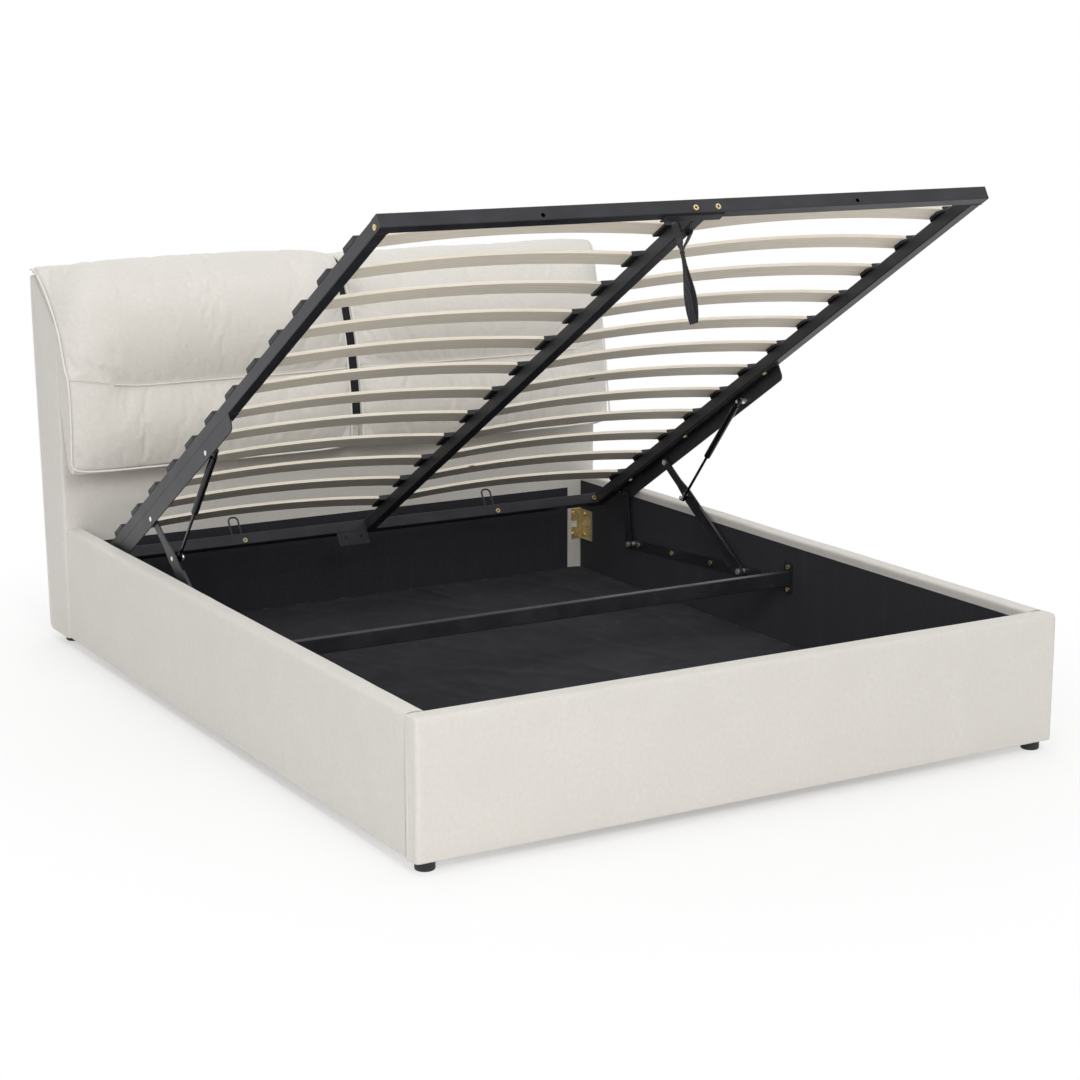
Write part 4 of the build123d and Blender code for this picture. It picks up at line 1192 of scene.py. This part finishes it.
def strap_hitch():
    """The band round the spine, drawn together to a point below it."""
    hitch = 36 * MM
    under = KNOT + LID_ACROSS * (hitch + 8.3 * MM)
    under.x = 0
    half = TUBE_WIDTH / 2 + 1.2 * MM
    corners = [
        (KNOT.x, -hitch - 6 * MM),
        (-half - 0.6 * MM, -3 * MM),
        (-half, 2 * MM),
        (-half, TUBE_HEIGHT - 2 * MM),
        (-half + 3 * MM, TUBE_HEIGHT + 1.1 * MM),
        (half - 3 * MM, TUBE_HEIGHT + 1.1 * MM),
        (half, TUBE_HEIGHT - 2 * MM),
        (half, 1 * MM),
        (half - 4 * MM, -5 * MM),
        (KNOT.x + 1 * MM, -hitch - 5 * MM),
    ]
    path = dense([Vector((x, 0, n)) for x, n in corners], 4 * MM)
    points, normals, widths = [], [], []
    for k, place in enumerate(path):
        ahead = path[min(k + 1, len(path) - 1)] - path[max(k - 1, 0)]
        out = Vector((-ahead.z, 0, ahead.x)).normalized()
        gathered = 0.5 + 0.5 * smooth(0, 16 * MM, place.z + hitch)
        points.append(under + Vector((place.x, 0, 0)) + LID_ACROSS * place.z)
        normals.append(Vector((out.x, 0, 0)) + LID_ACROSS * out.z)
        widths.append(LID_ALONG * WEB * gathered)
    piece = ribbon("strap_hitch", points, normals, widths, "lid")
    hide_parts("strap_loop")


strap_hitch()


def strap_strands():
    """Two strands pinched together under the spine, hanging to a folded end."""
    lean = math.radians(18)
    down = Vector((0, -math.sin(lean), -math.cos(lean)))
    length = (KNOT.z - hang_low.z - 2 * MM) / math.cos(lean)
    across = Vector((1, 0, 0))
    forward = down.cross(across)
    points, normals, widths = [], [], []
    count = 36
    for strand in (-1, 1):
        order = range(count + 1) if strand < 0 else range(count, -1, -1)
        for k in order:
            share = k / count
            open_share = math.sin(math.pi * share ** 1.9) ** 0.9 if 0 < share < 1 else 0
            apart = strand * (1.0 + 7.0 * open_share) * MM
            twist = math.radians(84 - 6 * share)
            side_way = across * math.cos(twist) + forward * math.sin(twist)
            facing = down.cross(side_way)
            pinch = 0.44 + 0.56 * smooth(0.12, 0.62, share)
            sway = across * (2.0 * MM * math.sin(3.0 * share))
            points.append(KNOT + down * (length * share) + facing * apart + sway)
            normals.append(facing * (1 if strand < 0 else -1))
            widths.append(side_way * WEB * 0.92 * pinch)
    piece = ribbon("strap_strands", points, normals, widths, "pull_strap")
    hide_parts("pull_strap")
    rings = []
    for k in range(9):
        share = -1 + 2 * k / 8
        radius = 5.4 * MM * (1 - 0.3 * share ** 4)
        ring = []
        for cut in range(14):
            angle = math.pi * 2 * cut / 14
            bump = 1 + 0.10 * math.cos(3 * angle + 2.2 * share)
            place = KNOT + across * (share * 4.5 * MM)
            ring.append(place + Vector((0, math.cos(angle), math.sin(angle))) * radius * bump)
        rings.append(ring)
    new_piece("strap_knot", *skin(rings), "webbing", "pull_strap")


strap_strands()


# Weld beads where the lid's tubes meet
def weld(name, start, end):
    points = []
    for k in range(13):
        point = start.lerp(end, k / 12)
        points.append(point + Vector((0, 0, 0.35 * MM * (-1) ** k)))
    tube(name, points, 1.3 * MM, "black_steel", "lid")


for side, name in SIDES.items():
    inner = side * (LID_HALF - TUBE_WIDTH)
    spine_side = side * TUBE_WIDTH / 2
    foot_join = LID_LENGTH - TUBE_WIDTH
    low = 1 * MM
    high = TUBE_HEIGHT - 1 * MM
    joins = {
        "foot": ((inner, foot_join, 0), (side * LID_HALF, foot_join, 0)),
        "foot_inner": ((inner, foot_join, low), (inner, foot_join, high)),
        "head": ((inner, 0, 0), (inner, TUBE_WIDTH, 0)),
        "head_inner": ((inner, TUBE_WIDTH, low), (inner, TUBE_WIDTH, high)),
        "spine_head": ((spine_side, TUBE_WIDTH, low), (spine_side, TUBE_WIDTH, high)),
        "spine_foot": ((spine_side, foot_join, low), (spine_side, foot_join, high)),
    }
    for join, (start, end) in joins.items():
        weld(f"weld_{join}_{name}", lid_place(*start), lid_place(*end))


# Screw heads with a near-black cross painted as the shade in their recess, rivet heads and nuts
body_of = {node: body for body, nodes in record["behaviour"]["bodies"].items() for node in nodes}
STRUT_ON_ARM = (314.95 * MM, 365.01 * MM)


def loose_heads(node):
    """Outer face of each loose fastener of a node: its middle, outward normal and radius."""
    loose = bmesh.new()
    loose.from_mesh(frame["nodes"][node].data)
    bmesh.ops.remove_doubles(loose, verts=loose.verts, dist=0.001 * MM)
    loose.normal_update()
    # Both in the mesh's own order, because a set's order changes from run to run
    left = dict.fromkeys(loose.faces)
    heads = []
    while left:
        island, edge = [], [left.popitem()[0]]
        while edge:
            face = edge.pop()
            island.append(face)
            for corner in face.verts:
                for beside in corner.link_faces:
                    if beside in left:
                        del left[beside]
                        edge.append(beside)
        areas = {}
        for face in island:
            key = tuple(round(value, 2) for value in face.normal)
            areas[key] = areas.get(key, 0) + face.calc_area()
        outward = Vector(max(areas, key=areas.get)).normalized()
        end = max(corner.co.dot(outward) for face in island for corner in face.verts)
        rim = [c.co for face in island for c in face.verts if c.co.dot(outward) > end - 0.02 * MM]
        lowest, highest = [Vector([pick(c[k] for c in rim) for k in range(3)]) for pick in (min, max)]
        middle = (lowest + highest) / 2
        radius = max((c - middle).length for c in rim)
        heads.append((middle, outward, radius))
    loose.free()
    return heads


def around(outward):
    """Two directions square to outward and to each other."""
    first = outward.orthogonal().normalized()
    return first, outward.cross(first).normalized()


# Half the length and half the width of a cross's bars, as shares of the head's radius
BAR_LENGTH = 0.72
BAR_WIDTH = 0.12
BLOCK_FACES = ((0, 3, 2, 1), (4, 5, 6, 7), (0, 1, 5, 4), (1, 2, 6, 5), (2, 3, 7, 6), (3, 0, 4, 7))


def painted_recess_shades(node):
    """Near-black cross on each screw head of a node, painted shade standing for its recess."""
    vertices, faces = [], []
    for number, (middle, outward, radius) in enumerate(loose_heads(node)):
        first, second = around(outward)
        turn = 0.5 + 0.9 * number
        along = first * math.cos(turn) + second * math.sin(turn)
        across = outward.cross(along)
        for length_way, width_way in ((along, across), (across, along)):
            base = len(vertices)
            for height in (-0.2 * MM, 0.12 * MM):
                for a, b in ((-1, -1), (1, -1), (1, 1), (-1, 1)):
                    corner = length_way * (a * BAR_LENGTH * radius) + width_way * (b * BAR_WIDTH * radius)
                    vertices.append(middle + outward * height + corner)
            faces += [tuple(base + k for k in face) for face in BLOCK_FACES]
    # The crosses take the strut's near-black paint as painted shade of the recess
    new_piece(f"{node}_recess_shades", vertices, faces, "strut_black", body_of[node])


for node in ("base_bar_bolts", "corner_bracket_bolts", "lid_bolts"):
    painted_recess_shades(node)


def turned(name, middle, outward, profile, body, sides=20):
    """Piece turned round outward through middle; profile is (radius, height) from its foot up."""
    first, second = around(outward)
    rings = []
    for radius, height in profile:
        ring = []
        for k in range(sides):
            angle = math.tau * k / sides
            way = first * math.cos(angle) + second * math.sin(angle)
            ring.append(middle + outward * height + way * radius)
        rings.append(ring)
    new_piece(name, *skin(rings), "bright_zinc", body)


# Radius and height of the hexagon nut on a stud, from its foot up
NUT_PROFILE = [
    (7.4 * MM, -0.4 * MM),
    (7.4 * MM, 3.6 * MM),
    (6.6 * MM, 4.2 * MM),
    (3.2 * MM, 4.2 * MM),
    (3.0 * MM, 5.6 * MM),
]
RIVET_RADIUS = 6.5 * MM


def rivet(name, foot, outward, height, body):
    shares = ((1, 0), (1, 0.45), (0.82, 0.8), (0.4, 1), (0.05, 1))
    turned(name, foot, outward, [(RIVET_RADIUS * a, height * b) for a, b in shares], body)


for side, name in SIDES.items():
    out = Vector((side, 0, 0))
    pins = [head for head in loose_heads("lid_pins") if head[0].x * side > 0]
    for number, (middle, _, _) in enumerate(sorted(pins, key=lambda pin: pin[0].y)):
        foot = Vector((side * LID_HALF, middle.y, middle.z))
        rivet(f"lid_rivet_{number}_{name}", foot, out, 1.8 * MM, "lid")
    arm_low, arm_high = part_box(f"front_arm_{name}")
    arm_face = arm_high.x if side > 0 else arm_low.x
    foot = Vector((arm_face, *STRUT_ON_ARM))
    rivet(f"strut_rivet_{name}", foot, out, 1.6 * MM, "front_arms")
    rod_low, rod_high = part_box(f"gas_rod_{name}")
    rod_face = rod_low.x if side > 0 else rod_high.x
    foot = Vector((rod_face, *STRUT_ON_ARM))
    turned(f"strut_nut_{name}", foot, -out, NUT_PROFILE, "gas_rods", sides=6)


# Light, floor and background: each lamp's name, place, target, diameter and power
LAMPS = (
    ("key", (-1.6, -10.5, 8.4), (0, 0, 0.4), 5.0, 490),
    ("fill", (-4.8, -4.2, 2.6), (-0.4, 0.8, 0.7), 3.2, 100),
    ("top", (0, 0.4, 6.0), (0, 0, 0), 5.0, 110),
    ("back", (2.5, 6.0, 3.5), (0, 0, 0.6), 3.5, 90),
)
FLOOR_REACH = 40.0


def area_light(name, place, target, size, power):
    data = bpy.data.lights.new(name, "AREA")
    data.shape = "DISK"
    data.size = size
    data.energy = power
    light = add_object(name, data)
    light.location = place
    light.rotation_euler = (Vector(target) - Vector(place)).to_track_quat("-Z", "Y").to_euler()


def seen_directly(tree):
    """1 for rays from the camera or off a shiny or clear surface, 0 for the rays that light things."""
    rays = tree.nodes.new("ShaderNodeLightPath")
    seen = rays.outputs["Is Camera Ray"]
    for kind in ("Is Glossy Ray", "Is Transmission Ray"):
        either = tree.nodes.new("ShaderNodeMath")
        either.operation = "MAXIMUM"
        tree.links.new(seen, either.inputs[0])
        tree.links.new(rays.outputs[kind], either.inputs[1])
        seen = either.outputs[0]
    return seen


def show_mixed(tree, share, first, second, output):
    """Send first, where share is 0, and second, where it is 1, to the tree's output."""
    mixed = tree.nodes.new("ShaderNodeMixShader")
    for value, socket in zip((share, first, second), mixed.inputs):
        tree.links.new(value, socket)
    tree.links.new(mixed.outputs[0], tree.nodes[output].inputs["Surface"])


def add_world():
    world = bpy.data.worlds.new("studio")
    bpy.context.scene.world = world
    world.use_nodes = True
    tree = world.node_tree
    lighting = tree.nodes["Background"]
    lighting.inputs["Color"].default_value = (1, 1, 1, 1)
    lighting.inputs["Strength"].default_value = 0.46
    seen = tree.nodes.new("ShaderNodeBackground")
    seen.inputs["Color"].default_value = (1, 1, 1, 1)
    seen.inputs["Strength"].default_value = 1.0
    show_mixed(tree, seen_directly(tree), lighting.outputs[0], seen.outputs[0], "World Output")


def add_floor():
    mesh = bpy.data.meshes.new("studio_floor")
    corners = [(x * FLOOR_REACH, y * FLOOR_REACH, 0) for x, y in ((-1, -1), (1, -1), (1, 1), (-1, 1))]
    mesh.from_pydata(corners, [], [(0, 1, 2, 3)])
    floor = add_object("studio_floor", mesh)
    paper = Shader("studio_paper", (0.93, 0.93, 0.925), 0.9, Specular_IOR_Level=0.1)
    grain = paper.noise(4, 2)
    paper.colour(paper.mix(paper.range(grain, 0.3, 0.7, 0, 1), (0.925, 0.925, 0.92), (0.935, 0.935, 0.93)))
    # Away from the bed and its shadow the floor runs into the white background
    tree = paper.tree
    far = paper.node("ShaderNodeVectorMath", operation="LENGTH")
    tree.links.new(paper.stretched((1.25, 1.0, 1.0)), far.inputs[0])
    blend = paper.node("ShaderNodeMapRange", {
        "Value": far.outputs["Value"], "From Min": 1.0, "From Max": 2.3, "To Min": 0.4, "To Max": 1.0,
    }, interpolation_type="SMOOTHSTEP")
    share = paper.sum(blend.outputs["Result"], seen_directly(tree), "MULTIPLY")
    white = paper.node("ShaderNodeEmission", {"Color": (1, 1, 1, 1), "Strength": 1.0})
    show_mixed(tree, share, paper.surface.outputs[0], white.outputs[0], "Material Output")
    mesh.materials.append(paper.material)


for lamp in LAMPS:
    area_light(*lamp)
add_world()
add_floor()
bpy.context.scene.view_settings.view_transform = "Standard"
